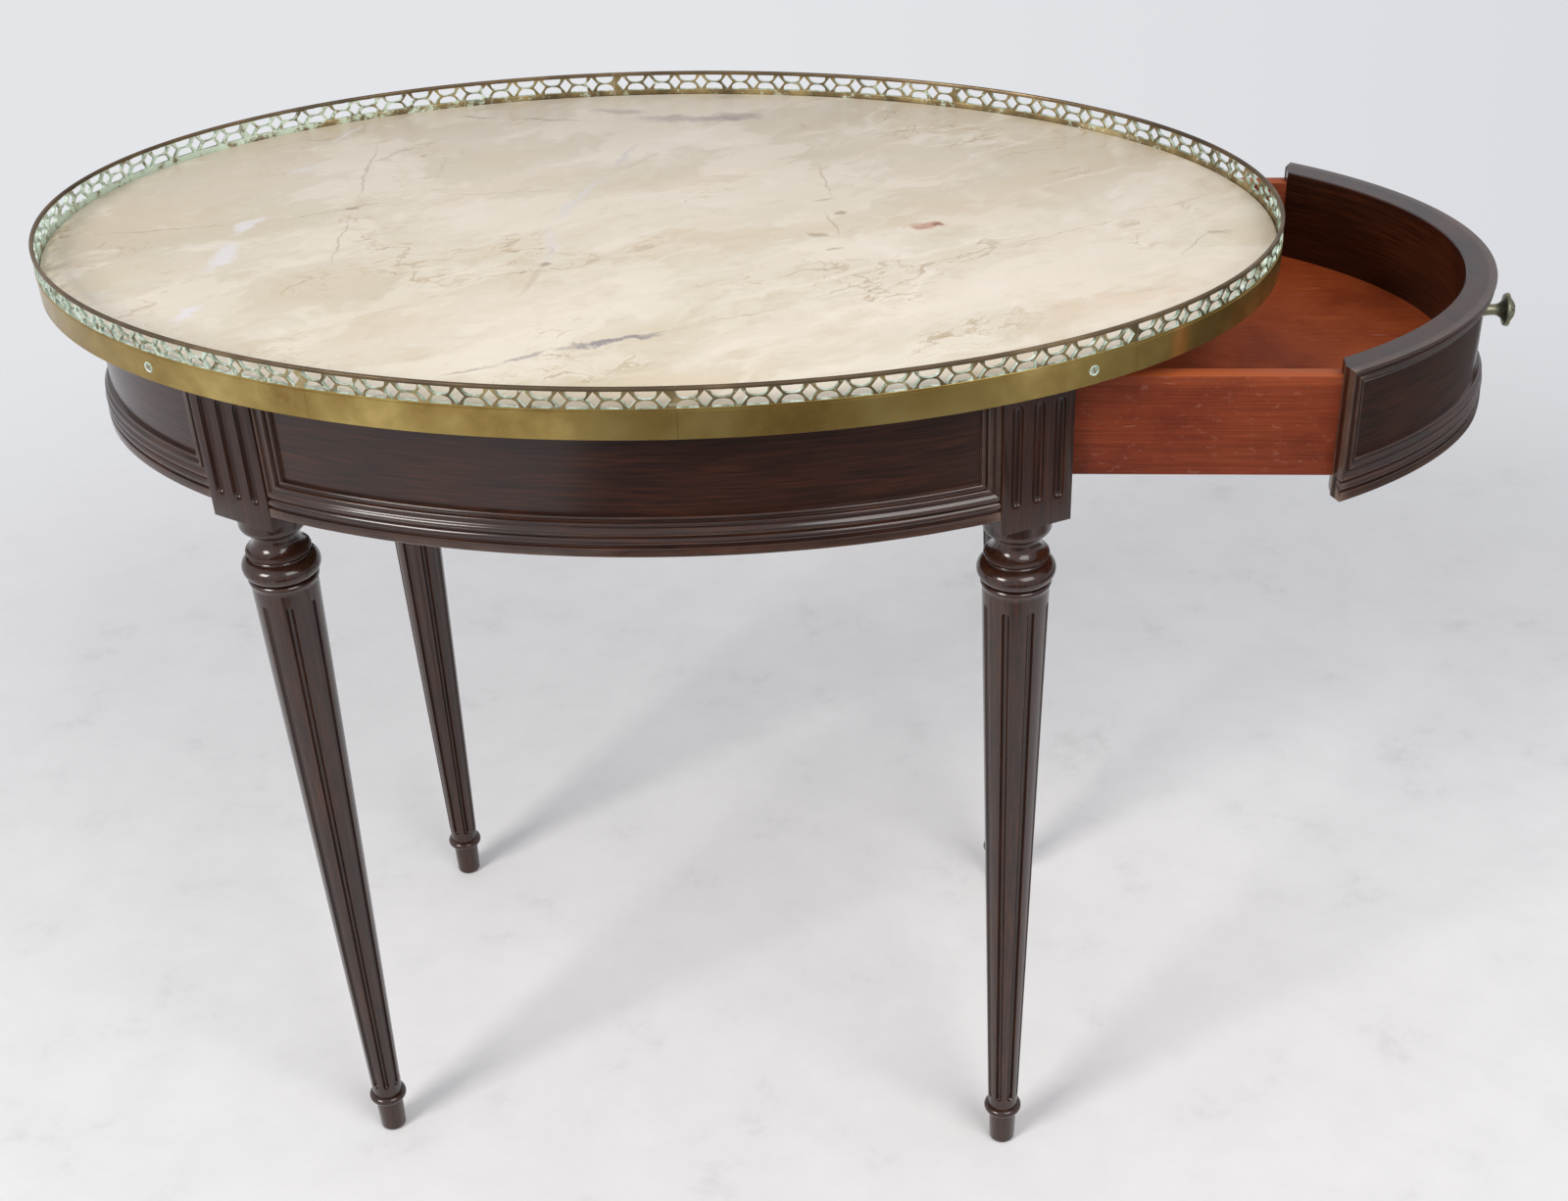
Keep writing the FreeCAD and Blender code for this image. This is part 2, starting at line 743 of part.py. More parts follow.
for name, depth in (("front", -1), ("back", 1)):
    straight_piece(
        f"drawer_runner_{name}",
        *mirrored_plan(depth, (CROSS_RAIL_X, INNER_Y), (RAIL_INNER_X, NOTCH_Y)),
        FRAME_BOTTOM,
        RUNNER_TOP,
    )
    straight_piece(
        f"drawer_guide_{name}",
        *mirrored_plan(
            depth,
            (CROSS_RAIL_X, NOTCH_Y),
            (LEG_X - size("block_width"), NOTCH_Y + size("guide_thickness")),
        ),
        FRAME_BOTTOM,
        FRAME_BOTTOM + size("guide_height"),
    )
    straight_piece(
        f"drawer_kicker_{name}",
        *mirrored_plan(depth, (CROSS_RAIL_X, INNER_Y), (RAIL_INNER_X, NOTCH_Y)),
        KICKER_BOTTOM,
        FRAME_TOP,
    )


# The board, the marble and the blocks glued under the board

BOARD_INSET = size("gallery_thickness") + size("gallery_gap")


def glue_block(name, low, high):
    """A block in the corner between an apron's back and the board, within a plan rectangle."""
    oval_piece(
        f"glue_block_{name}",
        APRON_BACK,
        APRON_BACK + size("glue_block_width"),
        FRAME_TOP - size("glue_block_height"),
        FRAME_TOP,
        [low, (high[0], low[1]), high, (low[0], high[1])],
    )


HALF_GLUE_BLOCK = size("glue_block_length") / 2
for name, depth in (("front", -1), ("back", 1)):
    for end, middle in (("left", -size("glue_block_place")), ("right", size("glue_block_place"))):
        span = (middle - HALF_GLUE_BLOCK, ZERO), (middle + HALF_GLUE_BLOCK, HALF_WIDTH)
        glue_block(f"{name}_{end}", *mirrored_plan(depth, *span))
glue_block("left", (-HALF_LENGTH, -HALF_GLUE_BLOCK), (ZERO, HALF_GLUE_BLOCK))

oval_piece("top_board", BOARD_INSET, None, FRAME_TOP, BOARD_TOP)
oval_piece("marble_top", BOARD_INSET, None, BOARD_TOP, MARBLE_TOP)


def part_feature(label, shape, across):
    """A piece whose shape no feature of the document makes, put in its place afterwards."""
    made = doc.addObject("Part::Feature", label)
    made.Label = label
    made.Shape = shape
    made.Placement = Placement(Vector(across.number, 0, 0), Rotation())
    bind(made, "Placement.Base.x", across)
    NODES[label] = made
    return made


# The pierced brass gallery

SAMPLES = 3600


def oval_point(bearing, inset):
    """A plan point on an oval, inset square to the top's edge, with the outward direction there."""
    angle = math.radians(bearing)
    edge = Vector(HALF_LENGTH.number * math.cos(angle), HALF_WIDTH.number * math.sin(angle), 0)
    outward = Vector(edge.x / HALF_LENGTH.number**2, edge.y / HALF_WIDTH.number**2, 0)
    outward.normalize()
    return edge - outward * inset, outward


def arc_table(samples):
    """The distance round the top's edge, from the first seam, at evenly spaced bearings."""
    bearings = [FIRST_SEAM_BEARING + FULL_TURN * step / samples for step in range(samples + 1)]
    distance = 0
    table = [(0, bearings[0])]
    for before, after in zip(bearings, bearings[1:]):
        distance += oval_point(before, 0)[0].distanceToPoint(oval_point(after, 0)[0])
        table.append((distance, after))
    return table


ARC = arc_table(SAMPLES)


def bearing_at(distance):
    """The bearing at a distance round the edge from the first seam."""
    for (low, before), (high, after) in zip(ARC, ARC[1:]):
        if distance <= high:
            return before + (after - before) * (distance - low) / (high - low)
    return ARC[-1][1]


def folded_wall(distances, height, bottom):
    """A strip of brass that follows the edge in flats, folded at each of the distances."""
    bearings = [bearing_at(distance) for distance in distances]
    thickness = size("gallery_thickness").number
    outer = [oval_point(bearing, 0)[0] for bearing in bearings]
    inner = [oval_point(bearing, thickness)[0] for bearing in bearings]
    corners = outer + inner[::-1]
    wall = Part.Face(Part.makePolygon(corners + corners[:1])).extrude(Vector(0, 0, height))
    wall.translate(Vector(0, 0, bottom))
    return wall


def pierce(points, middle):
    """A prism through the wall at a distance round the edge, from an outline given as (round, up)."""
    centre, outward = oval_point(bearing_at(middle), 0)
    along = Vector(-outward.y, outward.x, 0)
    thickness = size("gallery_thickness").number
    start = centre + outward * thickness
    ring = [start + along * across + Vector(0, 0, up) for across, up in points]
    return Part.Face(Part.makePolygon(ring + ring[:1])).extrude(outward * -3 * thickness)


def gallery_holes(middle_of_pair, pitch, bottom, top):
    """The two half rounds of one motif and the diamond that follows them."""
    dee = size("dee_width").number / 2
    shoulder = size("dee_shoulder_width").number / 2
    bar = size("dee_bar").number / 2
    level = (bottom + top) / 2
    rise = size("dee_height").number + bar
    holes = []
    for way in (1, -1):
        pair = [(-dee, level + way * rise), (-shoulder, level + way * bar)]
        pair += [(-across, up) for across, up in reversed(pair)]
        holes.append(pierce(pair, middle_of_pair))
    half = size("diamond_width").number / 2
    diamond = [(-half, level), (0, level - rise), (half, level), (0, level + rise)]
    holes.append(pierce(diamond, middle_of_pair + pitch / 2))
    return holes


def strip_diamonds(start, motifs, pitch, pier):
    """The distances round the edge of a casting's diamonds, where it also folds."""
    first = start + pier / 2 + pitch * 3 / 4
    return [first + pitch * index for index in range(motifs)]


CIRCUMFERENCE = ARC[-1][0]
PIER = size("seam_pier").number
PITCH = (CIRCUMFERENCE - PIER * len(STRIP_MOTIFS)) / sum(STRIP_MOTIFS)
PIERCING_BOTTOM = (FRAME_TOP + size("band_height")).number
PIERCING_TOP = (size("table_height") - size("rail_height")).number

start = 0
for number, motifs in enumerate(STRIP_MOTIFS, start=1):
    diamonds = strip_diamonds(start, motifs, PITCH, PIER)
    end = start + PITCH * motifs + PIER
    wall = folded_wall([start, *diamonds, end], size("gallery_height").number, FRAME_TOP.number)
    holes = []
    for diamond in diamonds:
        holes += gallery_holes(diamond - PITCH / 2, PITCH, PIERCING_BOTTOM, PIERCING_TOP)
    part_feature(f"gallery_strip_{number}", wall.cut(holes), TABLE_X)
    start = end


# The drawer


def drawer_front():
    region = end_region(1, size("drawer_end_gap"))
    oval_piece(
        "drawer_front", size("panel_inset"), FRONT_BACK, FRONT_BOTTOM, FRONT_TOP, region, DRAWER_X
    )
    bottom_moulding("drawer_moulding", region, 3, FRONT_BOTTOM, DRAWER_X)
    top_bottom = FRONT_TOP - size("bead_width")
    oval_piece(
        "drawer_top_bead",
        size("panel_inset") - size("moulding_proud"),
        size("panel_inset"),
        top_bottom,
        FRONT_TOP,
        region,
        DRAWER_X,
    )
    for name, depth in (("front", -1), ("back", 1)):
        side_bead(f"drawer_bead_{name}", 1, depth, True, top_bottom, DRAWER_X, size("drawer_end_gap"))


drawer_front()


def inside_front(body):
    """Ends a piece of the drawer on the curve of the front's inner face."""
    sketch = new_sketch(body, "XY_Plane", "front_curve")
    rectangle(sketch, (-BEYOND, -BEYOND), (BEYOND, BEYOND))
    oval(sketch, FRONT_BACK)
    cut_through(body, sketch, "front_curve_cut")


INNER_DRAWER_Y = HALF_DRAWER - size("drawer_side_thickness")
BOTTOM_LEVEL = SIDE_BOTTOM + size("drawer_bottom_lift")
BOTTOM_TOP = BOTTOM_LEVEL + size("drawer_bottom_thickness")


def front_end(across):
    """How far along the table the end of the drawer's front stands, at a distance from the middle."""
    along = HALF_BLOCK + size("drawer_end_gap")
    out = (across - LEG_Y + TURN_SINE * along) / TURN_COSINE
    return LEG_X + TURN_COSINE * along + TURN_SINE * out


def drawer_side(label, depth):
    """A side of the drawer, which butts against the end of the curved front."""
    body = new_body(label, DRAWER_X)
    sketch = new_sketch(body, "XY_Plane", "plan", SIDE_BOTTOM)
    corners = [
        (DRAWER_BACK_X, INNER_DRAWER_Y * depth),
        (front_end(INNER_DRAWER_Y), INNER_DRAWER_Y * depth),
        (front_end(HALF_DRAWER), HALF_DRAWER * depth),
        (DRAWER_BACK_X, HALF_DRAWER * depth),
    ]
    outline(sketch, *corners, corners[0])
    pad(body, sketch, SIDE_TOP - SIDE_BOTTOM)


drawer_side("drawer_side_front", -1)
drawer_side("drawer_side_back", 1)
floor = straight_piece(
    "drawer_bottom",
    (DRAWER_BACK_X + size("drawer_back_thickness"), -INNER_DRAWER_Y),
    (HALF_LENGTH, INNER_DRAWER_Y),
    BOTTOM_LEVEL,
    BOTTOM_TOP,
    DRAWER_X,
)
inside_front(floor)
straight_piece(
    "drawer_back",
    (DRAWER_BACK_X, -INNER_DRAWER_Y),
    (DRAWER_BACK_X + size("drawer_back_thickness"), INNER_DRAWER_Y),
    SIDE_BOTTOM,
    SIDE_TOP - size("drawer_back_drop"),
    DRAWER_X,
)


def knob():
    """The brass knob, on a lying axis: a stem, a disc and a boss on its face, with a stud behind
    that is screwed into the drawer's front."""
    body = new_body("drawer_knob", DRAWER_X)
    body.Placement = Placement(Vector(DRAWER_X.number, 0, KNOB_HEIGHT.number), Rotation())
    bind(body, "Placement.Base.z", KNOB_HEIGHT)
    stem_end = PANEL_LENGTH + size("knob_stem_length")
    disc_end = stem_end + size("knob_disc_thickness")
    for name, radius, start, end in (
        ("stud", "knob_stud_radius", PANEL_LENGTH - size("knob_stud_length"), PANEL_LENGTH),
        ("stem", "knob_stem_radius", PANEL_LENGTH, stem_end),
        ("disc", "knob_disc_radius", stem_end, disc_end),
        ("boss", "knob_boss_radius", disc_end, disc_end + size("knob_boss_rise")),
    ):
        band(body, name, size(radius), start, end, "YZ_Plane", KNOB_FLATS)


knob()

doc.recompute()


def check_objects():
    """Stops with the names of any object or piece that failed."""
    failed = [
        item.Name
        for item in doc.Objects
        if "Invalid" in item.State or "Error" in item.State
    ]
    for label, piece in NODES.items():
        if piece.Shape.isNull() or not piece.Shape.isValid() or not piece.Shape.Solids:
            failed.append(label)
    if failed:
        raise RuntimeError("failed: " + ", ".join(failed))


check_objects()
os.makedirs("parts", exist_ok=True)
for label, piece in NODES.items():
    piece.Shape.exportStep(os.path.join("parts", f"{label}.step"))
print(f"{len(NODES)} pieces")
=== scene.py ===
import math

import bmesh
import bpy
from mathutils import Matrix, Vector


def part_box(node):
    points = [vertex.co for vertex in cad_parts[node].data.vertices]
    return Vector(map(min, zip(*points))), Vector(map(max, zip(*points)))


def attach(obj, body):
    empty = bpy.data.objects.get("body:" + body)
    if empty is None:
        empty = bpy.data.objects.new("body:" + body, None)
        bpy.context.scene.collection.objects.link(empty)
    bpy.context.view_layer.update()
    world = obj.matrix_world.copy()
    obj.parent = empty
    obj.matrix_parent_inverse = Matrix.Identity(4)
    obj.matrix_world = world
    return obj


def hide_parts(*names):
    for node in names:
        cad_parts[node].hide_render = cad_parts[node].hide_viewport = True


# An oval table: a marble slab in a pierced brass gallery, on a curved mahogany frame with fluted
# corner blocks and four fluted turned legs. A drawer stands open in the frame's right-hand end.
#
# Sizes are in millimetres about the middle of the oval top, with heights from the floor. A piece of
# the drawer is drawn with the drawer shut. Each finished mesh is moved into the shared frame.

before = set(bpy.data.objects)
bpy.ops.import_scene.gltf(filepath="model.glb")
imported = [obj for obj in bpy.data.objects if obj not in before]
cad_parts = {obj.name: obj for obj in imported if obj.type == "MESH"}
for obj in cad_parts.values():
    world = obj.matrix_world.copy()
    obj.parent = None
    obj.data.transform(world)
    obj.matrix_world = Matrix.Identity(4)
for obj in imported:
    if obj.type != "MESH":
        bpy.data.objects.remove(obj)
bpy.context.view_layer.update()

MM = 0.001


def edges_of(node):
    """A CAD node's lowest and highest corners, in millimetres."""
    return [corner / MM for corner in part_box(node)]


# The oval top and its gallery
HALF_LENGTH = 452
HALF_WIDTH = 286
TABLE_TOP = edges_of("gallery_strip_1")[1].z
FRAME_BOTTOM, FRAME_TOP = (corner.z for corner in edges_of("apron_front"))
MARBLE_BOTTOM, MARBLE_TOP = (corner.z for corner in edges_of("marble_top"))
TABLE_X = (edges_of("marble_top")[0].x + edges_of("marble_top")[1].x) / 2
GALLERY_THICKNESS = 3
MARBLE_INSET = 3.5
BAND_TOP = FRAME_TOP + 22
RAIL_BOTTOM = TABLE_TOP - 2.6
SEAM_GAP = 0.16
SEAM_PIER = 4
STRIP_MOTIFS = (11, 14, 14, 13, 13, 14, 13, 14)
FIRST_SEAM_BEARING = -115.5
DIAMOND_WIDTH = 9.9
DIAMOND_HEIGHT = 11.8
DEE_WIDTH = 14.2
DEE_HEIGHT = 5.7

# The frame
PANEL_INSET = 33.7
APRON_THICKNESS = 20
BASE_HEIGHT = 17
STRIP_WIDTH = 13
BLOCK_WIDTH = 54.2
BLOCK_BOTTOM = FRAME_BOTTOM - 12
LEG_BEARING = math.radians(48.43)
LEG_INSET = 55

# The drawer
FRONT_THICKNESS = 16
FRONT_BOTTOM, FRONT_TOP = (corner.z for corner in edges_of("drawer_front"))
SIDE_BOTTOM, SIDE_TOP = (corner.z for corner in edges_of("drawer_side_front"))
DRAWER_X = edges_of("drawer_front")[1].x - (HALF_LENGTH - PANEL_INSET)
DRAWER_END_GAP = 1
HALF_DRAWER = edges_of("drawer_side_back")[1].y
KNOB_HEIGHT = (edges_of("drawer_knob")[0].z + edges_of("drawer_knob")[1].z) / 2

LEG_X = (HALF_LENGTH - LEG_INSET) * math.cos(LEG_BEARING)
LEG_Y = (HALF_WIDTH - LEG_INSET) * math.sin(LEG_BEARING)
BLOCK_TURN = math.atan2(
    math.cos(LEG_BEARING) / (HALF_LENGTH - LEG_INSET),
    math.sin(LEG_BEARING) / (HALF_WIDTH - LEG_INSET),
)
SHARP_ANGLE = math.radians(33)
SEAM_CLOSED = 0.002  # points nearer than this are one


# Materials


def colour(code):
    """An sRGB hex value as the linear colour that the shader wants."""
    channels = [int(code[place : place + 2], 16) / 255 for place in (0, 2, 4)]
    linear = [c / 12.92 if c <= 0.04045 else ((c + 0.055) / 1.055) ** 2.4 for c in channels]
    return (*linear, 1)


def add(tree, kind, links=None, stops=None, **settings):
    """Adds a node with its settings. Links gives its sockets a value or another node's output."""
    made = tree.nodes.new(kind)
    for name, value in settings.items():
        setattr(made, name, value)
    for socket, value in (links or {}).items():
        if isinstance(value, bpy.types.NodeSocket):
            tree.links.new(value, made.inputs[socket])
        else:
            made.inputs[socket].default_value = value
    for index, (position, code) in enumerate(stops or ()):
        elements = made.color_ramp.elements
        stop = elements[index] if index < len(elements) else elements.new(position)
        stop.position = position
        stop.color = colour(code)
    return made


def finish(name, **values):
    """A new material, its tree and its shader, with the shader's own values."""
    material = bpy.data.materials.new(name)
    material.use_nodes = True
    tree = material.node_tree
    shader = tree.nodes["Principled BSDF"]
    for socket, value in values.items():
        shader.inputs[socket.replace("_", " ")].default_value = value
    return material, tree, shader


def place_of(tree, scale=(1, 1, 1), turn=(0, 0, 0), shift=(0, 0, 0)):
    """Object coordinates in metres, stretched, turned and moved for a pattern."""
    here = add(tree, "ShaderNodeTexCoord").outputs["Object"]
    links = {"Vector": here, "Scale": scale, "Rotation": turn, "Location": shift}
    return add(tree, "ShaderNodeMapping", links).outputs["Vector"]


def noise(tree, place, scale, detail, roughness=0.5, distortion=0):
    """A noise pattern's level at a place."""
    links = {"Vector": place, "Scale": scale, "Detail": detail, "Roughness": roughness}
    links["Distortion"] = distortion
    return add(tree, "ShaderNodeTexNoise", links).outputs["Fac"]


def ramp(tree, value, *stops):
    """A colour that follows a value, from its stops as (value, colour)."""
    return add(tree, "ShaderNodeValToRGB", {"Fac": value}, stops).outputs["Color"]


def share_of(tree, value, low, high, most=1, least=0):
    """A share that goes from least to most as a value goes from low to high, and no further."""
    links = {"Value": value, "From Min": low, "From Max": high, "To Min": least, "To Max": most}
    return add(tree, "ShaderNodeMapRange", links).outputs["Result"]


def combined(tree, first, second, operation="MULTIPLY", **settings):
    links = {0: first, 1: second}
    return add(tree, "ShaderNodeMath", links, operation=operation, **settings).outputs["Value"]


def tinted(tree, surface, share, tint, blend="MIX"):
    """A surface's colour with a share of a tint over it. The tint is a hex value or a pattern."""
    links = {0: share, 6: surface, 7: colour(tint) if isinstance(tint, str) else tint}
    return add(tree, "ShaderNodeMix", links, data_type="RGBA", blend_type=blend).outputs[2]


def parts_of(tree, vector):
    """A vector's X, Y and Z."""
    return add(tree, "ShaderNodeSeparateXYZ", {"Vector": vector}).outputs


def relief(tree, height, strength, depth):
    """The normals of a surface that a pattern raises by a depth in millimetres."""
    links = {"Height": height, "Strength": strength, "Distance": depth * MM}
    return add(tree, "ShaderNodeBump", links).outputs["Normal"]


def give(tree, shader, **patterns):
    """Leads each pattern to the shader's socket of that name."""
    for socket, pattern in patterns.items():
        tree.links.new(pattern, shader.inputs[socket.replace("_", " ")])


X, Z = 0, 2


def streaks(tree, width, stretch, along):
    """A place for a pattern with streaks so wide, in millimetres, and drawn out along X or Z. Those
    along X are drawn out along Y too, since the pieces that have them curve round the table."""
    across = 1 / (width * MM)
    scale = [across / stretch if axis == along else across for axis in range(3)]
    if along == X:
        scale[1] = scale[0]
    return place_of(tree, scale)


def mahogany(name, along, rubs, gloss, blur):
    """French-polished mahogany: near-black brown figure with red in it, fine open pores, and a
    deep gloss. The arrises of mouldings and turnings are tinted pale: partly real wear, partly a
    painted highlight along each arris."""
    material, tree, shader = finish(
        name, Roughness=0.5, Coat_Weight=gloss, Coat_Roughness=blur, Specular_IOR_Level=0.12
    )
    figure = noise(tree, streaks(tree, 2.4, 24, along), 1, 5, 0.6)
    clouds = noise(tree, place_of(tree), 9, 3, 0.55)
    pores = noise(tree, streaks(tree, 1, 30, along), 1, 2)
    wood = ramp(tree, figure, (0.3, "241009"), (0.5, "31170b"), (0.62, "3c1d0e"), (0.78, "4c2612"))
    cloud_tone = ramp(tree, clouds, (0.35, "d8d0cc"), (0.65, "ffffff"))
    pore_tone = ramp(tree, pores, (0.36, "8a8280"), (0.5, "ffffff"))
    surface = tinted(tree, wood, 0.8, cloud_tone, "MULTIPLY")
    surface = tinted(tree, surface, 0.7, pore_tone, "MULTIPLY")
    # Pale tint along convex arrises: partly real wear, partly a painted highlight where the arrises
    # catch the light
    if rubs:
        corner = add(tree, "ShaderNodeNewGeometry").outputs["Pointiness"]
        patches = noise(tree, place_of(tree), 70, 4, 0.6)
        arris_wear_and_highlight = combined(tree, share_of(tree, corner, 0.53, 0.62, rubs), patches)
        surface = tinted(tree, surface, arris_wear_and_highlight, "a08878")
    dull = share_of(tree, clouds, 0.3, 0.7, 0.6, 0.45)
    normals = relief(tree, pores, 0.05, 0.1)
    give(tree, shader, Base_Color=surface, Roughness=dull, Normal=normals)
    return material


def stained_beech(name, dark, mid, light):
    """Drawer sides and bottom of beech, stained orange-red and worn: fleck and fine straight grain,
    pale scratches and scuffs, and top edges tinted bright orange: partly worn back, partly a
    painted highlight on the faces that look up."""
    material, tree, shader = finish(name, Roughness=0.55, Specular_IOR_Level=0.22)
    grain = noise(tree, place_of(tree, (16, 850, 850)), 1, 4, 0.6)
    blotch = noise(tree, place_of(tree), 16, 6, 0.62)
    wood = ramp(tree, grain, (0.3, dark), (0.5, mid), (0.7, light))
    tone = ramp(tree, blotch, (0.38, "c8b4ac"), (0.5, "f0e6e0"), (0.64, "ffffff"))
    surface = tinted(tree, wood, 0.75, tone, "MULTIPLY")
    # Long thin scratches, and small scuffs where things were dragged in and out
    scratches = noise(tree, place_of(tree, (30, 260, 260), (0.2, 0.3, 0.7)), 1, 2, 0.5, 0.4)
    scuffs = noise(tree, place_of(tree, (0.5, 1, 1)), 220, 6, 0.72)
    scratched = share_of(tree, scratches, 0.7, 0.76, 0.35)
    scuffed = share_of(tree, scuffs, 0.58, 0.76, 0.3)
    surface = tinted(tree, surface, combined(tree, scratched, scuffed, "MAXIMUM"), "c09080")
    # Top edges tinted bright orange where the faces look up: partly wear, partly a painted
    # highlight where the light falls on them
    facing = parts_of(tree, add(tree, "ShaderNodeNewGeometry").outputs["Normal"])["Z"]
    height = parts_of(tree, place_of(tree))["Z"]
    high_up = share_of(tree, height, (SIDE_TOP - 8) * MM, (SIDE_TOP - 6) * MM)
    surface = tinted(tree, surface, combined(tree, facing, high_up, use_clamp=True), "a4522c")
    give(tree, shader, Base_Color=surface, Normal=relief(tree, grain, 0.15, 0.15))
    return material


def unpolished_beech():
    """Sawn beech left bare inside the frame: pale tan, darkened by age, dry and matt."""
    material, tree, shader = finish("unpolished_beech", Roughness=0.75, Specular_IOR_Level=0.3)
    grain = noise(tree, place_of(tree, (18, 300, 300)), 1, 5, 0.6)
    wood = ramp(tree, grain, (0.3, "7a5a3c"), (0.5, "93714e"), (0.7, "a98660"))
    give(tree, shader, Base_Color=wood, Normal=relief(tree, grain, 0.25, 0.3))
    return material


MARK_THROUGH = 100  # metres: a mark goes straight through the slab
BROAD_MARK = 9  # a mark wider than this has a more ragged edge
HAIRLINE = 0.006  # how near a level that a vein follows counts as the vein
# Marks in the marble: middle (x, y), length, width, turn in degrees, colour, how strong
MARBLE_MARKS = (
    # Smoky purple streaks by the front and back edges
    (-95, -226, 52, 5, 25, "9c9187", 0.5),
    (-62, -206, 40, 7, 36, "8e8487", 0.6),
    (-12, -184, 84, 10, 14, "827980", 0.8),
    (14, -176, 36, 11, 16, "8a8186", 0.6),
    (-174, 230, 44, 5, -8, "92877d", 0.5),
    (-117, 224, 96, 5, -4, "92877d", 0.5),
    (-60, 241, 70, 16, -4, "a39896", 0.5),
    (4, 224, 128, 20, 0, "9a8b8b", 0.55),
    (36, 229, 60, 22, 0, "8c7d80", 0.5),
    # Cloudy white bruises in a line, and a bluish seam that runs to the back
    (-307, -141, 44, 17, 60, "e2dfe2", 0.8),
    (-310, -46, 66, 24, 85, "e2dfe2", 0.8),
    (-303, 11, 40, 17, 50, "e2dfe2", 0.8),
    (-291, 119, 42, 9, 36, "dcd9da", 0.6),
    (-275, 192, 50, 7, 62, "dcd9da", 0.6),
    (-77, -86, 74, 8, 80, "b5a288", 0.35),
    (-75, -23, 90, 15, 95, "dcd6d2", 0.5),
    (-64, 64, 116, 10, 74, "d6d0ce", 0.65),
    (-42, 143, 74, 8, 78, "cac3c0", 0.6),
    (-72, -60, 16, 8, 20, "967d66", 0.7),
    # Old cracks, filled and worn
    (-367, 2, 160, 2.4, 10.3, "a4957c", 0.55),
    (-244, 38, 130, 2.4, 24, "a4957c", 0.55),
    (-130, 70, 130, 2.4, 7, "b3a58d", 0.5),
    (-33, 128, 130, 2.4, 53, "b9ab93", 0.4),
    (-240, 115, 156, 2.4, -85, "a08e74", 0.5),
    (-230, -18, 124, 2.4, -87, "a08e74", 0.45),
    (-234, 41, 12, 7, 0, "8c775d", 0.7),
    (-183, 120, 74, 2.2, 90, "b3a48c", 0.35),
    (22, -170, 52, 2.8, 26, "a89d86", 0.55),
    (75, -144, 82, 2.8, 26, "b1a68a", 0.5),
    (150, -96, 112, 2.6, 37.5, "b1a68a", 0.5),
    (220, -49, 72, 2.6, 29, "b1a68a", 0.5),
    (305, 0, 138, 2.4, 30.5, "b4aa90", 0.45),
    (388, 52, 72, 2.4, 35, "b4aa90", 0.45),
    # Brown loops and spots of rust
    (118, 95, 84, 2.6, -77, "a68d67", 0.5),
    (120, 55, 24, 4, 20, "a18860", 0.55),
    (128, 12, 56, 3.4, -70, "a68d67", 0.45),
    (134, 31, 14, 8, 0, "97805e", 0.7),
    (121, -6, 24, 10, 0, "a08c68", 0.6),
    (132, -34, 16, 6, 10, "a08c68", 0.6),
    (198, 7, 34, 13, 12, "b57a5c", 0.75),
    (206, 9, 11, 7, 0, "7c4632", 0.85),
    (388, -26, 56, 2.8, 62, "a08f74", 0.45),
    (410, -5, 28, 10, 20, "9c8b72", 0.5),
)


def wandering(tree, place, scale, reach, detail=4):
    """The place, pushed about so that what is drawn there has ragged edges."""
    links = {"Vector": place, "Scale": scale, "Detail": detail, "Roughness": 0.6}
    push = add(tree, "ShaderNodeTexNoise", links).outputs["Color"]
    links = {0: push, 1: (0.5, 0.5, 0.5)}
    push = add(tree, "ShaderNodeVectorMath", links, operation="SUBTRACT").outputs["Vector"]
    links = {0: push, 1: (reach, reach, reach), 2: place}
    return add(tree, "ShaderNodeVectorMath", links, operation="MULTIPLY_ADD").outputs["Vector"]


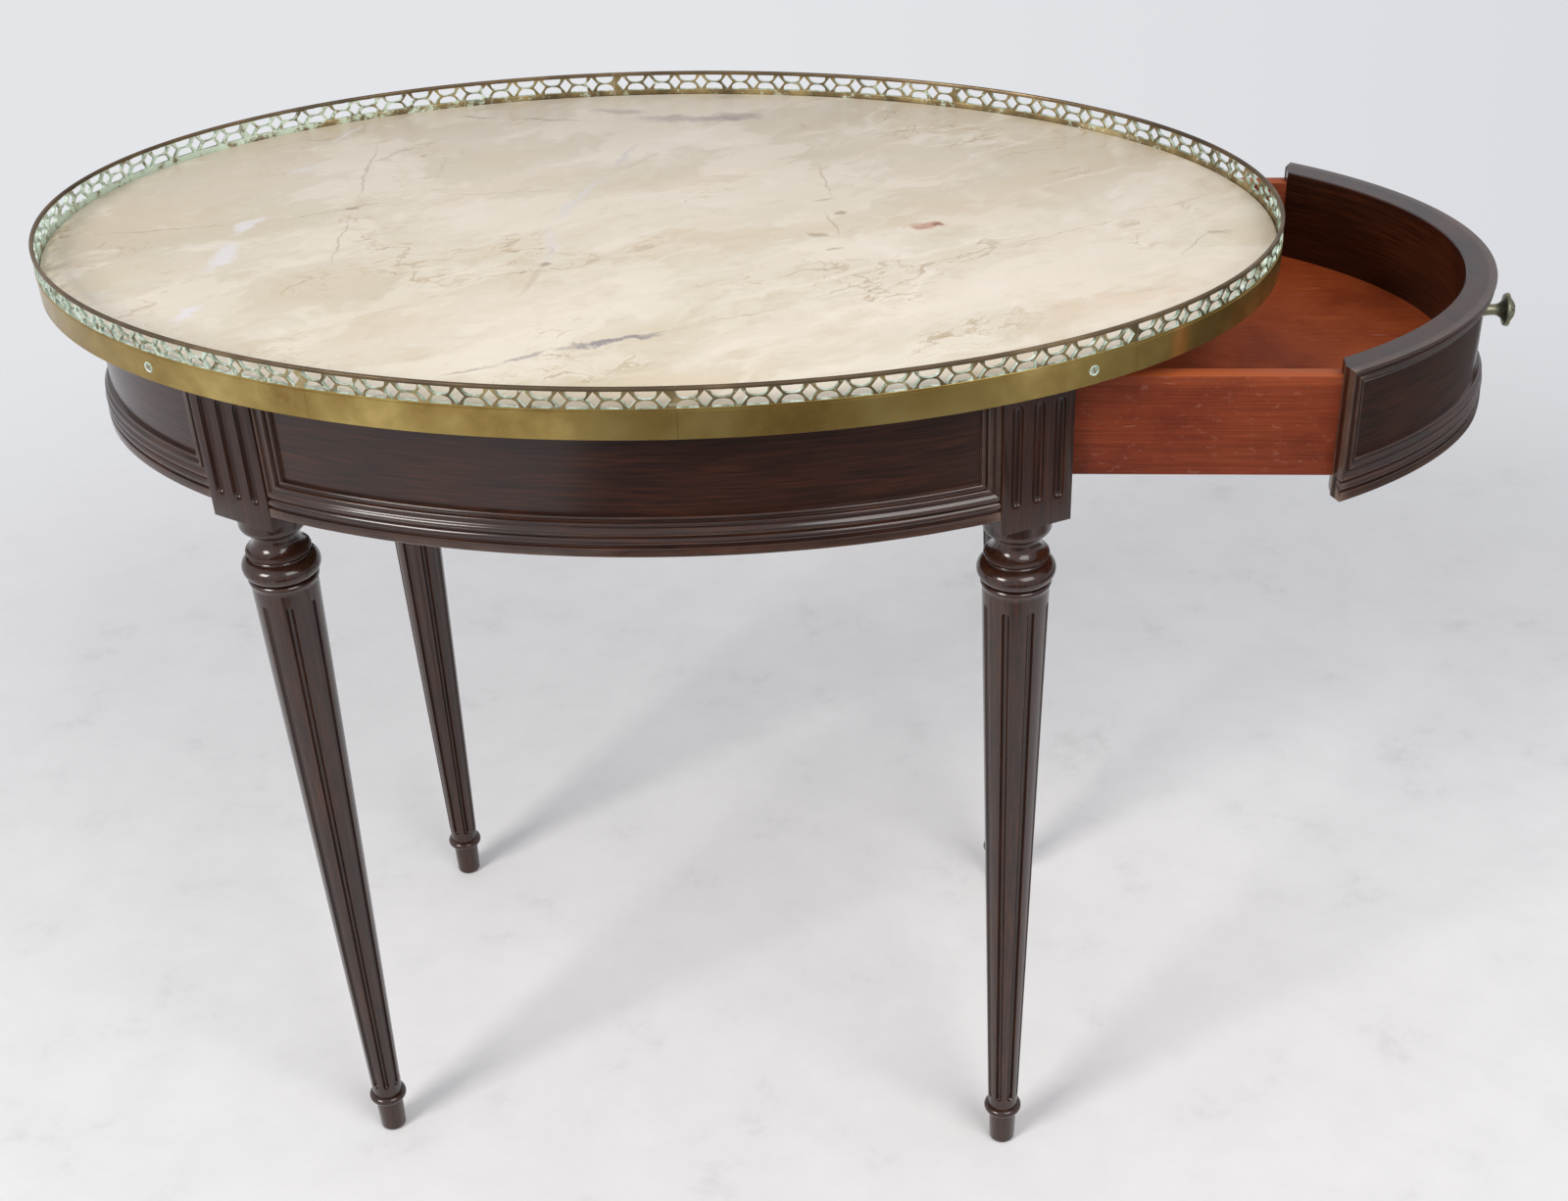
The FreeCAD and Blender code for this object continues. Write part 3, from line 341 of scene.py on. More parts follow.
def veined_marble():
    """Polished cream marble: soft peach and ivory clouding that drifts one way, a pale web between
    its lumps, a few smoky streaks, old cracks and brown spots, under a dulled polish."""
    material, tree, shader = finish("veined_marble", Roughness=0.34, Specular_IOR_Level=0.5)
    here = place_of(tree, shift=(-TABLE_X * MM, 0, 0))
    links = {"Vector": wandering(tree, here, 6, 0.07), "Rotation": (0, 0, math.radians(30))}
    links["Scale"] = (2.4, 1, 1)
    drift = add(tree, "ShaderNodeMapping", links, vector_type="TEXTURE").outputs["Vector"]
    clouds = noise(tree, drift, 9, 6, 0.55)
    surface = ramp(
        tree, clouds, (0.3, "cfc2a9"), (0.45, "d9ceb8"), (0.56, "e0d6c4"), (0.7, "e6dac9")
    )
    peach = share_of(tree, noise(tree, drift, 4, 3, 0.6), 0.5, 0.66, 0.5)
    surface = tinted(tree, surface, peach, "e6c9ae")
    # Painted shade: the stone is tinted greyer towards its back and its left end, where less light
    # falls
    where = parts_of(tree, wandering(tree, here, 4, 0.2))
    surface = tinted(tree, surface, share_of(tree, where["Y"], 0.02, 0.28, 0.5), "b9ad9f")
    surface = tinted(tree, surface, share_of(tree, where["X"], -0.1, -0.42, 0.45), "c2b8a3")

    # A pale web between the stone's lumps, towards the right
    links = {"Vector": wandering(tree, drift, 24, 0.035), "Scale": 15}
    cells = add(tree, "ShaderNodeTexVoronoi", links, feature="DISTANCE_TO_EDGE")
    gone = noise(tree, here, 8, 3, 0.6)
    web = share_of(tree, cells.outputs["Distance"], 0.05, 0, 0.5)
    web = combined(tree, web, share_of(tree, gone, 0.42, 0.6))
    web = combined(tree, web, share_of(tree, where["X"], -0.16, 0.12))
    surface = tinted(tree, surface, web, "f4ece0")

    # Fine mottling, then ragged islands of paler and darker stone
    fine = share_of(tree, noise(tree, drift, 60, 4, 0.7), 0.5, 0.75, 0.5)
    surface = tinted(tree, surface, fine, "c9b99e")
    pale = share_of(tree, noise(tree, here, 42, 5, 0.65), 0.54, 0.8, 0.5)
    surface = tinted(tree, surface, pale, "efe8dc")
    islands = noise(tree, wandering(tree, drift, 34, 0.02, 5), 12, 5, 0.62)
    surface = tinted(tree, surface, share_of(tree, islands, 0.5, 0.54, 0.35), "f0e8da")
    surface = tinted(tree, surface, share_of(tree, islands, 0.44, 0.4, 0.3), "d3c3a6")

    # Hairlines, where a noise passes through its middle level
    for scale, code, strength in ((14, "a98f68", 0.6), (26, "b59c76", 0.5), (44, "b59c76", 0.4)):
        field = noise(tree, wandering(tree, drift, 60, 0.012, 5), scale, 4, 0.55)
        links = {0: field, 1: 0.5, 2: HAIRLINE}
        line = add(tree, "ShaderNodeMath", links, operation="COMPARE").outputs["Value"]
        line = combined(tree, line, share_of(tree, gone, 0.52, 0.66, strength))
        surface = tinted(tree, surface, line, code)

    ragged_place = wandering(tree, here, 70, 0.012, 6)
    wild_place = wandering(tree, here, 38, 0.035, 6)
    grit = noise(tree, here, 150, 5, 0.75)
    for across, up, length, width, turn, code, strength in MARBLE_MARKS:
        links = {
            "Vector": wild_place if width > BROAD_MARK else ragged_place,
            "Location": (across * MM, up * MM, 0),
            "Rotation": (0, 0, math.radians(turn)),
            "Scale": (length * MM / 2, width * MM / 2, MARK_THROUGH),
        }
        spot = add(tree, "ShaderNodeMapping", links, vector_type="TEXTURE").outputs["Vector"]
        links = {"Vector": spot}
        blob = add(tree, "ShaderNodeTexGradient", links, gradient_type="SPHERICAL").outputs["Fac"]
        mark = share_of(tree, combined(tree, blob, grit), 0.04, 0.3, strength)
        surface = tinted(tree, surface, mark, code)
    dull = share_of(tree, clouds, 0, 1, 0.44, 0.3)
    give(tree, shader, Base_Color=surface, Roughness=dull)
    return material


def aged_brass(name, bright, mid, dark, roughness, metallic=0.78):
    """Cast brass dulled by age: an olive-gold that mottles to brown, with small bright rubs."""
    material, tree, shader = finish(name, Metallic=metallic, Roughness=roughness)
    mottle = noise(tree, place_of(tree), 16, 6, 0.6)
    surface = ramp(tree, mottle, (0.34, dark), (0.52, mid), (0.7, bright))
    flecks = share_of(tree, noise(tree, place_of(tree), 240, 4, 0.7), 0.62, 0.74, 0.5)
    surface = tinted(tree, surface, flecks, bright)
    dull = share_of(tree, mottle, 0.3, 0.7, roughness - 0.06, roughness + 0.1)
    normals = relief(tree, mottle, 0.15, 0.4)
    give(tree, shader, Base_Color=surface, Roughness=dull, Normal=normals)
    return material


def verdigris():
    """What is never polished, the walls of the piercings: chalky pale green over brown brass."""
    material, tree, shader = finish("verdigris", Roughness=0.8, Specular_IOR_Level=0.3)
    patches = noise(tree, place_of(tree), 140, 5, 0.7)
    surface = ramp(tree, patches, (0.36, "77775c"), (0.48, "a3b5a4"), (0.62, "dce7dd"))
    give(tree, shader, Base_Color=surface)
    return material


def verdigrised_brass():
    """The pierced plate's faces: brown-olive cast brass, with chalky green that creeps out of the
    piercings, most of all at the table's left end."""
    material, tree, shader = finish("verdigrised_brass_plate", Metallic=0.7, Roughness=0.42)
    here = place_of(tree)
    mottle = noise(tree, here, 45, 5)
    brass = ramp(tree, mottle, (0.36, "64573d"), (0.5, "857350"), (0.66, "a6956a"))
    across = parts_of(tree, here)["X"]
    end = share_of(tree, across, (TABLE_X - 120) * MM, (TABLE_X - 380) * MM, 0.08, -0.12)
    creep = combined(tree, noise(tree, here, 110, 5, 0.7), end, "ADD")
    green = share_of(tree, creep, 0.44, 0.56)
    surface = tinted(tree, brass, green, "c3d2bf")
    bare = share_of(tree, green, 0, 1, 0.05, 0.7)
    give(tree, shader, Base_Color=surface, Metallic=bare)
    return material


MAHOGANY_LYING = mahogany("polished_mahogany_lying", X, 0.7, 0.95, 0.12)
MAHOGANY_UPRIGHT = mahogany("polished_mahogany_upright", Z, 0.3, 1, 0.16)
PANEL_MAHOGANY = mahogany("polished_mahogany_panel", X, 0, 0.85, 0.19)
BLOCK_MAHOGANY = mahogany("polished_mahogany_block", Z, 0, 0.6, 0.19)
STAINED_BEECH = stained_beech("stained_beech", "64270f", "733016", "82391b")
# A lighter copy of the stained beech for the drawer bottom: painted light, since the bottom lies in
# the shade of the top
PAINTED_LIGHT_BEECH = stained_beech("stained_beech_painted_light", "8e3c1a", "a0481f", "b05a2c")
UNPOLISHED_BEECH = unpolished_beech()
MARBLE = veined_marble()
BAND_BRASS = aged_brass("olive_gold_brass_band", "c2aa6b", "a38b4f", "856a36", 0.22)
PLATE_BRASS = verdigrised_brass()
RAIL_BRASS = aged_brass("brown_brass_rail", "8a7658", "6a5842", "4c4236", 0.4)
VERDIGRIS = verdigris()
KNOB_BRASS = aged_brass("tarnished_brass_knob", "b9b8a0", "85846e", "4c4a3c", 0.38)
SCREW_STEEL = aged_brass("tarnished_screw", "c0c4b4", "9da190", "6e7166", 0.4, 0.35)


# Making meshes


def arc(start, end, rise, steps=5):
    """Points of a circular arc from start to end. It swells by rise to the right of the way it
    goes, or is hollow where rise is negative."""
    start, end = Vector(start), Vector(end)
    along = (end - start) / 2
    half = along.length
    square = Vector((along.y, -along.x)) / half
    radius = (half * half + rise * rise) / (2 * rise)
    reach = 2 * math.atan(rise / half)
    points = []
    for step in range(steps + 1):
        angle = reach * (2 * step / steps - 1)
        swell = radius * math.cos(angle) - (radius - rise)
        points.append(start + along + along / half * radius * math.sin(angle) + square * swell)
    return [tuple(point) for point in points]


def placed(name, data):
    """A new object in the scene."""
    item = bpy.data.objects.new(name, data)
    bpy.context.scene.collection.objects.link(item)
    return item


def faced(shape, index):
    """Gives all of a shape's faces the finish at this place in its piece's list of materials."""
    for face in shape.faces:
        face.material_index = index
    return shape


def grown(shape, way):
    """Thickens a flat shape by moving a copy of its faces, joined to the first by walls."""
    made = bmesh.ops.extrude_face_region(shape, geom=shape.faces[:])["geom"]
    corners = [item for item in made if isinstance(item, bmesh.types.BMVert)]
    bmesh.ops.translate(shape, verts=corners, vec=way)


def spun(shape, angle, steps, merged):
    """Sweeps an outline about the upright axis through the middle."""
    bmesh.ops.spin(
        shape,
        geom=shape.verts[:] + shape.edges[:],
        cent=(0, 0, 0),
        axis=(0, 0, 1),
        angle=angle,
        steps=steps,
        use_merge=merged,
    )


def ring_of_edges(shape, points):
    """Adds points as vertices, joined in a closed ring."""
    corners = [shape.verts.new(point) for point in points]
    return [shape.edges.new(pair) for pair in zip(corners, corners[1:] + corners[:1])]


def oval_at(bearing, inset):
    return Vector(
        ((HALF_LENGTH - inset) * math.cos(bearing), (HALF_WIDTH - inset) * math.sin(bearing))
    )


RING = 1000  # the circle on which an oval bar is spun before it is drawn out to the oval


def oval_bar(profile, first, last):
    """A bar that follows the oval between two bearings. Its profile is given as (inset, height)."""
    shape = bmesh.new()
    ring_of_edges(shape, [(RING - inset, 0, height) for inset, height in profile])
    laid(shape, Matrix.Rotation(first, 4, "Z"))
    spun(shape, last - first, math.ceil(math.degrees(last - first)), False)
    for corner in shape.verts:
        bearing = math.atan2(corner.co.y, corner.co.x)
        corner.co.xy = oval_at(bearing, RING - corner.co.xy.length)
    bmesh.ops.holes_fill(shape, edges=shape.edges, sides=0)
    return shape


def trimmed(shape, place, outward):
    """Cuts off what lies beyond a plane, on the side that outward points to, and closes the cut."""
    bmesh.ops.bisect_plane(
        shape,
        geom=shape.verts[:] + shape.edges[:] + shape.faces[:],
        dist=1e-5,
        plane_co=place,
        plane_no=outward,
        clear_outer=True,
    )
    bmesh.ops.holes_fill(shape, edges=shape.edges, sides=0)
    return shape


def joined(*shapes):
    """Puts several shapes into the first of them."""
    for other in shapes[1:]:
        mesh = bpy.data.meshes.new("joining")
        other.to_mesh(mesh)
        shapes[0].from_mesh(mesh)
        bpy.data.meshes.remove(mesh)
        other.free()
    return shapes[0]


def carved(solid, cutter):
    """What is left of a solid once a cutter is taken out of it."""
    bodies = []
    for shape in (solid, cutter):
        bmesh.ops.recalc_face_normals(shape, faces=shape.faces)
        mesh = bpy.data.meshes.new("carving")
        shape.to_mesh(mesh)
        shape.free()
        bodies.append(placed("carving", mesh))
    cut = bodies[0].modifiers.new("cut", "BOOLEAN")
    cut.operation = "DIFFERENCE"
    cut.solver = "EXACT"
    cut.object = bodies[1]
    left = bmesh.new()
    left.from_object(bodies[0], bpy.context.evaluated_depsgraph_get())
    for body in bodies:
        mesh = body.data
        bpy.data.objects.remove(body)
        bpy.data.meshes.remove(mesh)
    return left


def box(low, high, ease=0):
    """A squared piece between two corners, its edges eased."""
    shape = bmesh.new()
    bmesh.ops.create_cube(shape, size=1)
    low, high = Vector(low), Vector(high)
    bmesh.ops.scale(shape, verts=shape.verts, vec=high - low)
    bmesh.ops.translate(shape, verts=shape.verts, vec=(low + high) / 2)
    if ease:
        eased(shape, shape.edges[:], ease)
    return shape


def eased(shape, edges, width, segments=2):
    bmesh.ops.bevel(
        shape, geom=edges, offset=width, segments=segments, profile=0.5, affect="EDGES", material=-1
    )
    return shape


def turned(profile, steps):
    """A piece turned on an upright axis, from its profile as (radius, height)."""
    shape = bmesh.new()
    corners = [shape.verts.new((radius, 0, height)) for radius, height in profile]
    for pair in zip(corners, corners[1:]):
        shape.edges.new(pair)
    spun(shape, math.tau, steps, True)
    bmesh.ops.remove_doubles(shape, verts=shape.verts, dist=1e-4)
    return shape


def laid(shape, matrix):
    bmesh.ops.transform(shape, matrix=matrix, verts=shape.verts)
    return shape


def finished(name, shape, materials, body, replaces=(), across=TABLE_X):
    """Makes the piece from its shape, in the shared frame, and hands it to its body."""
    laid(shape, Matrix.Diagonal((MM, MM, MM, 1)) @ Matrix.Translation((across, 0, 0)))
    bmesh.ops.remove_doubles(shape, verts=shape.verts, dist=SEAM_CLOSED * MM)
    bmesh.ops.recalc_face_normals(shape, faces=shape.faces)
    for face in shape.faces:
        face.smooth = True
    for edge in shape.edges:
        edge.smooth = edge.is_manifold and edge.calc_face_angle() < SHARP_ANGLE
    mesh = bpy.data.meshes.new(name)
    shape.to_mesh(mesh)
    shape.free()
    for material in materials:
        mesh.materials.append(material)
    piece = placed(name, mesh)
    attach(piece, body)
    if replaces:
        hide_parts(*replaces)


# The legs


def leg_placing(side, depth):
    """Turns a leg drawn with its fluted face towards -Y, and stands it in its place. Side is 1 for
    the drawer's end, depth is 1 for the back."""
    turn = side * BLOCK_TURN if depth < 0 else math.pi - side * BLOCK_TURN
    return Matrix.Translation((side * LEG_X, depth * LEG_Y, 0)) @ Matrix.Rotation(turn, 4, "Z")


FLUTES = 8
FLUTE_STEPS = 12  # columns of the mesh across one flute
SHAFT_STEPS = FLUTES * FLUTE_STEPS * 2
SHAFT_TOP = 557.5
SHAFT_BOTTOM = 41
SHAFT_TOP_RADIUS = 24.1
SHAFT_BOTTOM_RADIUS = 12.2
FLUTE_TOP = SHAFT_TOP - 11
FLUTE_BOTTOM = SHAFT_BOTTOM + 11
FLUTE_WIDTHS = (2.5, 2.85)  # half the width at the foot and at the top
FLUTE_DEPTH = 3.2


def shaft_share(height):
    return (height - SHAFT_BOTTOM) / (SHAFT_TOP - SHAFT_BOTTOM)


def shaft_rows():
    """Heights of the shaft's rows: close together where the flutes' rounded ends are."""
    rows = [SHAFT_TOP - 1.2]
    ends = [0, 0.25, 0.6, 1.1, 1.7, 2.4, 3.2]
    rows += [FLUTE_TOP - step for step in ends]
    span = FLUTE_TOP - FLUTE_BOTTOM - 2 * ends[-1]
    count = 14
    rows += [FLUTE_TOP - ends[-1] - span * step / count for step in range(1, count)]
    rows += [FLUTE_BOTTOM + step for step in reversed(ends)]
    return rows


def leg_profile():
    """The turned leg from inside the block down to the floor, as (radius, height): a collar, a
    hollow neck, a fillet and a bead, a bold ring, a fine ring, the shaft, and a ringed foot."""
    lower = SHAFT_BOTTOM_RADIUS
    profile = [(0, BLOCK_BOTTOM + 2), (24.4, BLOCK_BOTTOM + 2), (24.4, BLOCK_BOTTOM - 8)]
    profile += arc((24.4, BLOCK_BOTTOM - 8.6), (18.4, BLOCK_BOTTOM - 15.4), -2.2)
    profile += [(17.2, BLOCK_BOTTOM - 15.8), (17, BLOCK_BOTTOM - 17.4)]
    profile += arc((16.6, BLOCK_BOTTOM - 17.8), (22.3, 587), 2.9, 10)
    profile += arc((22.4, 586.6), (22.2, 583.4), -1.2, 4)
    profile += [(20.8, 583)]
    profile += arc((21, 582.4), (21.6, 580.6), -0.8, 4)
    profile += arc((21.6, 580.2), (23.4, 564.8), -5.7, 16)
    profile += [(23, 564.2)]
    profile += arc((24.5, 563.8), (24.6, 560), -0.9, 4)
    profile += [(SHAFT_TOP_RADIUS, SHAFT_TOP)]
    rise = SHAFT_TOP_RADIUS - lower
    profile += [(lower + rise * shaft_share(height), height) for height in shaft_rows()]
    profile += [(lower, SHAFT_BOTTOM + 0.2)]
    profile += arc((13.2, SHAFT_BOTTOM), (13.4, SHAFT_BOTTOM - 7), -2.2, 8)
    profile += [(11.2, SHAFT_BOTTOM - 7.4), (10.9, 16), (10.5, 4)]
    profile += arc((10.5, 3.6), (6.5, 0), -1.4, 5)
    profile += [(0, 0)]
    return profile


def flute_shaft(shape):
    """Moves the turned shaft's columns to the flutes' edges and sinks those between them."""
    column = math.tau / SHAFT_STEPS
    for corner in shape.verts:
        height = corner.co.z
        if not FLUTE_BOTTOM - 1 < height < FLUTE_TOP + 1:
            continue
        radius = corner.co.xy.length
        half = FLUTE_WIDTHS[0] + (FLUTE_WIDTHS[1] - FLUTE_WIDTHS[0]) * shaft_share(height)
        index = round(math.atan2(corner.co.y, corner.co.x) / column)
        offset = (index + FLUTE_STEPS) % (2 * FLUTE_STEPS) - FLUTE_STEPS
        middle = (index - offset) * column
        inside = FLUTE_STEPS / 2
        edge = half / radius
        if abs(offset) <= inside:
            turn = edge * offset / inside
        else:
            beyond = (abs(offset) - inside) / inside
            turn = math.copysign(edge + (math.pi / FLUTES - edge) * beyond, offset)
        near_end = min(FLUTE_TOP - height, height - FLUTE_BOTTOM)
        cap = max(0, 1 - near_end / (half * 1.1))
        left = 1 - (offset / inside) ** 2 - cap**2
        depth = FLUTE_DEPTH * math.sqrt(left) if left > 0 and near_end >= 0 else 0
        angle = middle + turn
        corner.co.xy = Vector((math.cos(angle), math.sin(angle))) * (radius - depth)


BLOCK_FLUTE_RADIUS = 4.2
BLOCK_FLUTE_DEPTH = 3.3
BLOCK_FLUTE_RUN = 5.5  # over how long each end dies out
BLOCK_FLUTE_BOTTOM = BLOCK_BOTTOM + 18.4
BLOCK_FLUTE_TOP = FRAME_TOP - 17
BLOCK_FLUTE_PITCH = 16
NOTCH_GAP = 0.3  # between the drawer and the leg that is cut away for it


def block_flutes():
    """The cutters of the block's three flutes, half sunk in the face towards -Y, with ends that
    close in to a point."""
    upper, lower = [], []
    for share in (0.2, 0.45, 0.7, 0.88, 1):
        radius = BLOCK_FLUTE_RADIUS * share
        run = BLOCK_FLUTE_RUN * (0.12 + 0.88 * (1 - math.sqrt(1 - share * share)))
        upper.append((radius, BLOCK_FLUTE_TOP - run))
        lower.insert(0, (radius, BLOCK_FLUTE_BOTTOM + run))
    profile = [(0, BLOCK_FLUTE_TOP), *upper, *lower, (0, BLOCK_FLUTE_BOTTOM)]
    out = BLOCK_WIDTH / 2 + BLOCK_FLUTE_RADIUS - BLOCK_FLUTE_DEPTH
    cutters = []
    for across in (-BLOCK_FLUTE_PITCH, 0, BLOCK_FLUTE_PITCH):
        cutters.append(laid(turned(profile, 32), Matrix.Translation((across, -out, 0))))
    return joined(*cutters)


def make_leg(name, side, depth):
    """A turned leg and its fluted block. Those at the drawer's end are cut away for the drawer."""
    half = BLOCK_WIDTH / 2
    block = box((-half, -half, BLOCK_BOTTOM), (half, half, FRAME_TOP), 0.7)
    shaft = turned(leg_profile(), SHAFT_STEPS)
    flute_shaft(shaft)
    placing = leg_placing(side, depth)
    cutter = laid(block_flutes(), placing)
    if side > 0:
        notch = HALF_DRAWER + NOTCH_GAP
        low = (LEG_X - BLOCK_WIDTH, -notch, FRAME_BOTTOM)
        high = (LEG_X + BLOCK_WIDTH, notch, FRAME_TOP + 9)
        cutter = joined(cutter, box(low, high))
    block = faced(carved(laid(block, placing), cutter), 1)
    shape = joined(block, laid(shaft, placing))
    finished(name, shape, [MAHOGANY_UPRIGHT, BLOCK_MAHOGANY], "table", [name])


for name, side, depth in (
    ("leg_front_right", 1, -1),
    ("leg_front_left", -1, -1),
    ("leg_back_right", 1, 1),
    ("leg_back_left", -1, 1),
):
    make_leg(name, side, depth)


# The curved sides of the frame and their mouldings

# The reeded base under each panel, as (proud, height above its lower edge)
BASE_PROFILE = (
    [(-6, 0), (5.6, 0), (6.3, 0.7), (6.3, 6.3), (6.1, 6.9), (5.6, 7.2), (4.5, 7.3), (4.4, 8.2)]
    + arc((4.7, 8.4), (4.5, 14), 1.45, 6)
    + [(3.9, 14.2), (3.8, 15.2), (4.6, 15.4)]
    + arc((4.9, 15.6), (4.9, BASE_HEIGHT), 0.5, 3)
    + [(-6, BASE_HEIGHT)]
)
# The strip that frames each panel, as (proud, distance in from the strip's outer edge)
STRIP_PROFILE = (
    [(-6, 0.06), (-0.04, 0.06), (0, 0), (5.4, 0)]
    + arc((5.7, 0.3), (5.5, 2.2), 0.4, 4)
    + arc((5.2, 2.6), (4.1, 5.4), -0.5, 4)
    + arc((4.5, 5.6), (4.4, 8.4), 0.7, 5)
    + [(3.1, 8.7), (2.4, 9.4)]
    + arc((2.5, 9.8), (1.6, 12.4), 1.2, 6)
    + [(0.4, 12.8), (-6, STRIP_WIDTH)]
)


def local_point(side, depth, along, out):
    """A plan point seen from a leg's axis: along its block's face towards the end, and outwards."""
    return Vector(
        (
            side * (LEG_X + math.cos(BLOCK_TURN) * along + math.sin(BLOCK_TURN) * out),
            depth * (LEG_Y - math.sin(BLOCK_TURN) * along + math.cos(BLOCK_TURN) * out),
        )
    )


def along_block(side, depth):
    """The direction along a block's face, towards the table's end."""
    return Vector((side * math.cos(BLOCK_TURN), -depth * math.sin(BLOCK_TURN)))


def bearing_of(point):
    return math.atan2(point.y / HALF_WIDTH, point.x / HALF_LENGTH)


def on_panel(side, depth, along, proud):
    """Where a line parallel to the block's side meets the panel's oval, moved out by proud."""
    low, high = -BLOCK_WIDTH, BLOCK_WIDTH * 2
    inset = PANEL_INSET - proud
    for _ in range(40):
        out = (low + high) / 2
        point = local_point(side, depth, along, out)
        reach = math.hypot(point.x / (HALF_LENGTH - inset), point.y / (HALF_WIDTH - inset))
        low, high = (out, high) if reach < 1 else (low, out)
    return point


class Span:
    """The stretch of a panel between two blocks. Each end is a leg (side, depth), and sign is the
    direction, along that leg's block face, in which the panel lies."""

    def __init__(self, ends, sign, gap=0):
        self.ends = ends
        self.sign = sign
        self.start = BLOCK_WIDTH / 2 + gap
        bearings = [bearing_of(local_point(*end, sign * self.start, 0)) for end in ends]
        if bearings[1] < bearings[0]:
            bearings[1] += math.tau
        slack = math.radians(5)
        self.bearings = bearings[0] - slack, bearings[1] + slack

    def cut(self, shape, level=0, rising=0):
        """Ends a bar against the blocks' sides. A framing strip is mitred there, from its outer
        edge's level, with rising 1 for a lower strip and -1 for an upper one."""
        for end in self.ends:
            place = local_point(*end, self.sign * self.start, 0)
            away = along_block(*end) * -self.sign
            trimmed(shape, (*place, level), (*away, rising))
        return shape


EASE = 0.8


def panel_face(span, thickness, bottom, top):
    """A curved panel, square where its mouldings meet it and eased inside."""
    inner = PANEL_INSET + thickness
    profile = [
        (PANEL_INSET, bottom),
        (inner - EASE, bottom),
        (inner, bottom + EASE),
        (inner, top - EASE),
        (inner - EASE, top),
        (PANEL_INSET, top),
    ]
    return span.cut(oval_bar(profile, *span.bearings))


def base_and_strip(span, bottom):
    """The moulding along a panel's lower edge: a reeded base and the framing strip's lower side."""
    base = [(PANEL_INSET - proud, bottom + up) for proud, up in BASE_PROFILE]
    level = bottom + BASE_HEIGHT
    strip = [(PANEL_INSET - proud, level + into) for proud, into in STRIP_PROFILE]
    lower = span.cut(oval_bar(base, *span.bearings))
    upper = span.cut(oval_bar(strip, *span.bearings), level, 1)
    return joined(lower, upper)


def top_strip(span, top):
    strip = [(PANEL_INSET - proud, top - into) for proud, into in reversed(STRIP_PROFILE)]
    return span.cut(oval_bar(strip, *span.bearings), top, -1)


def upright_strip(side, depth, sign, bottom, top, gap=0, mitred_top=False):
    """The framing strip's upright side, beside a block, mitred where it meets the others."""
    shape = bmesh.new()
    start = BLOCK_WIDTH / 2 + gap
    plan = [on_panel(side, depth, sign * (start + into), proud) for proud, into in STRIP_PROFILE]
    edges = ring_of_edges(shape, [(point.x, point.y, bottom - 1) for point in plan])
    bmesh.ops.edgeloop_fill(shape, edges=edges)
    grown(shape, (0, 0, top - bottom + 1))
    bmesh.ops.recalc_face_normals(shape, faces=shape.faces)
    place = local_point(side, depth, sign * start, 0)
    away = along_block(side, depth) * sign
    trimmed(shape, (*place, bottom), (*away, -1))
    if mitred_top:
        trimmed(shape, (*place, top), (*away, 1))
    return shape


FRONT = Span(((-1, -1), (1, -1)), -1)
BACK = Span(((1, 1), (-1, 1)), -1)
LEFT = Span(((-1, 1), (-1, -1)), 1)
RIGHT = Span(((1, -1), (1, 1)), 1, DRAWER_END_GAP)

for side, span in (("front", FRONT), ("back", BACK), ("left", LEFT)):
    panel = panel_face(span, APRON_THICKNESS, FRAME_BOTTOM, FRAME_TOP)
    moulding = base_and_strip(span, FRAME_BOTTOM)
    for name, shape, material in (
        (f"apron_{side}", panel, PANEL_MAHOGANY),
        (f"moulding_{side}", moulding, MAHOGANY_LYING),
    ):
        finished(name, shape, [material], "table", [name])

for name, side, depth, sign in (
    ("bead_front_left", -1, -1, -1),
    ("bead_front_right", 1, -1, -1),
    ("bead_back_left", -1, 1, -1),
    ("bead_back_right", 1, 1, -1),
    ("bead_left_front", -1, -1, 1),
    ("bead_left_back", -1, 1, 1),
):
    strip = upright_strip(side, depth, sign, FRAME_BOTTOM + BASE_HEIGHT, FRAME_TOP)
    finished(name, strip, [MAHOGANY_UPRIGHT], "table", [name])


# The drawer's front, its mouldings and its sides

SIDE_END = 295.4  # where the drawer's sides butt against the front, which is cut square there


def drawer_side(node):
    """A side of the drawer, its front end square against the curved front's end."""
    low, high = edges_of(node)
    return box((low.x - DRAWER_X, low.y, SIDE_BOTTOM), (SIDE_END, high.y, SIDE_TOP), EASE)


def drawer_bead(depth):
    bottom = FRONT_BOTTOM + BASE_HEIGHT
    return upright_strip(1, depth, 1, bottom, FRONT_TOP, DRAWER_END_GAP, True)


curved_front = panel_face(RIGHT, FRONT_THICKNESS, FRONT_BOTTOM, FRONT_TOP)
for name, shape, material in (
    ("front", trimmed(curved_front, (SIDE_END, 0, 0), (-1, 0, 0)), PANEL_MAHOGANY),
    ("moulding", base_and_strip(RIGHT, FRONT_BOTTOM), MAHOGANY_LYING),
    ("top_bead", top_strip(RIGHT, FRONT_TOP), MAHOGANY_LYING),
    ("bead_front", drawer_bead(-1), MAHOGANY_UPRIGHT),
    ("bead_back", drawer_bead(1), MAHOGANY_UPRIGHT),
    ("side_front", drawer_side("drawer_side_front"), STAINED_BEECH),
    ("side_back", drawer_side("drawer_side_back"), STAINED_BEECH),
):
    name = f"drawer_{name}"
    finished(name, shape, [material], "drawer", [name], DRAWER_X)


# The marble


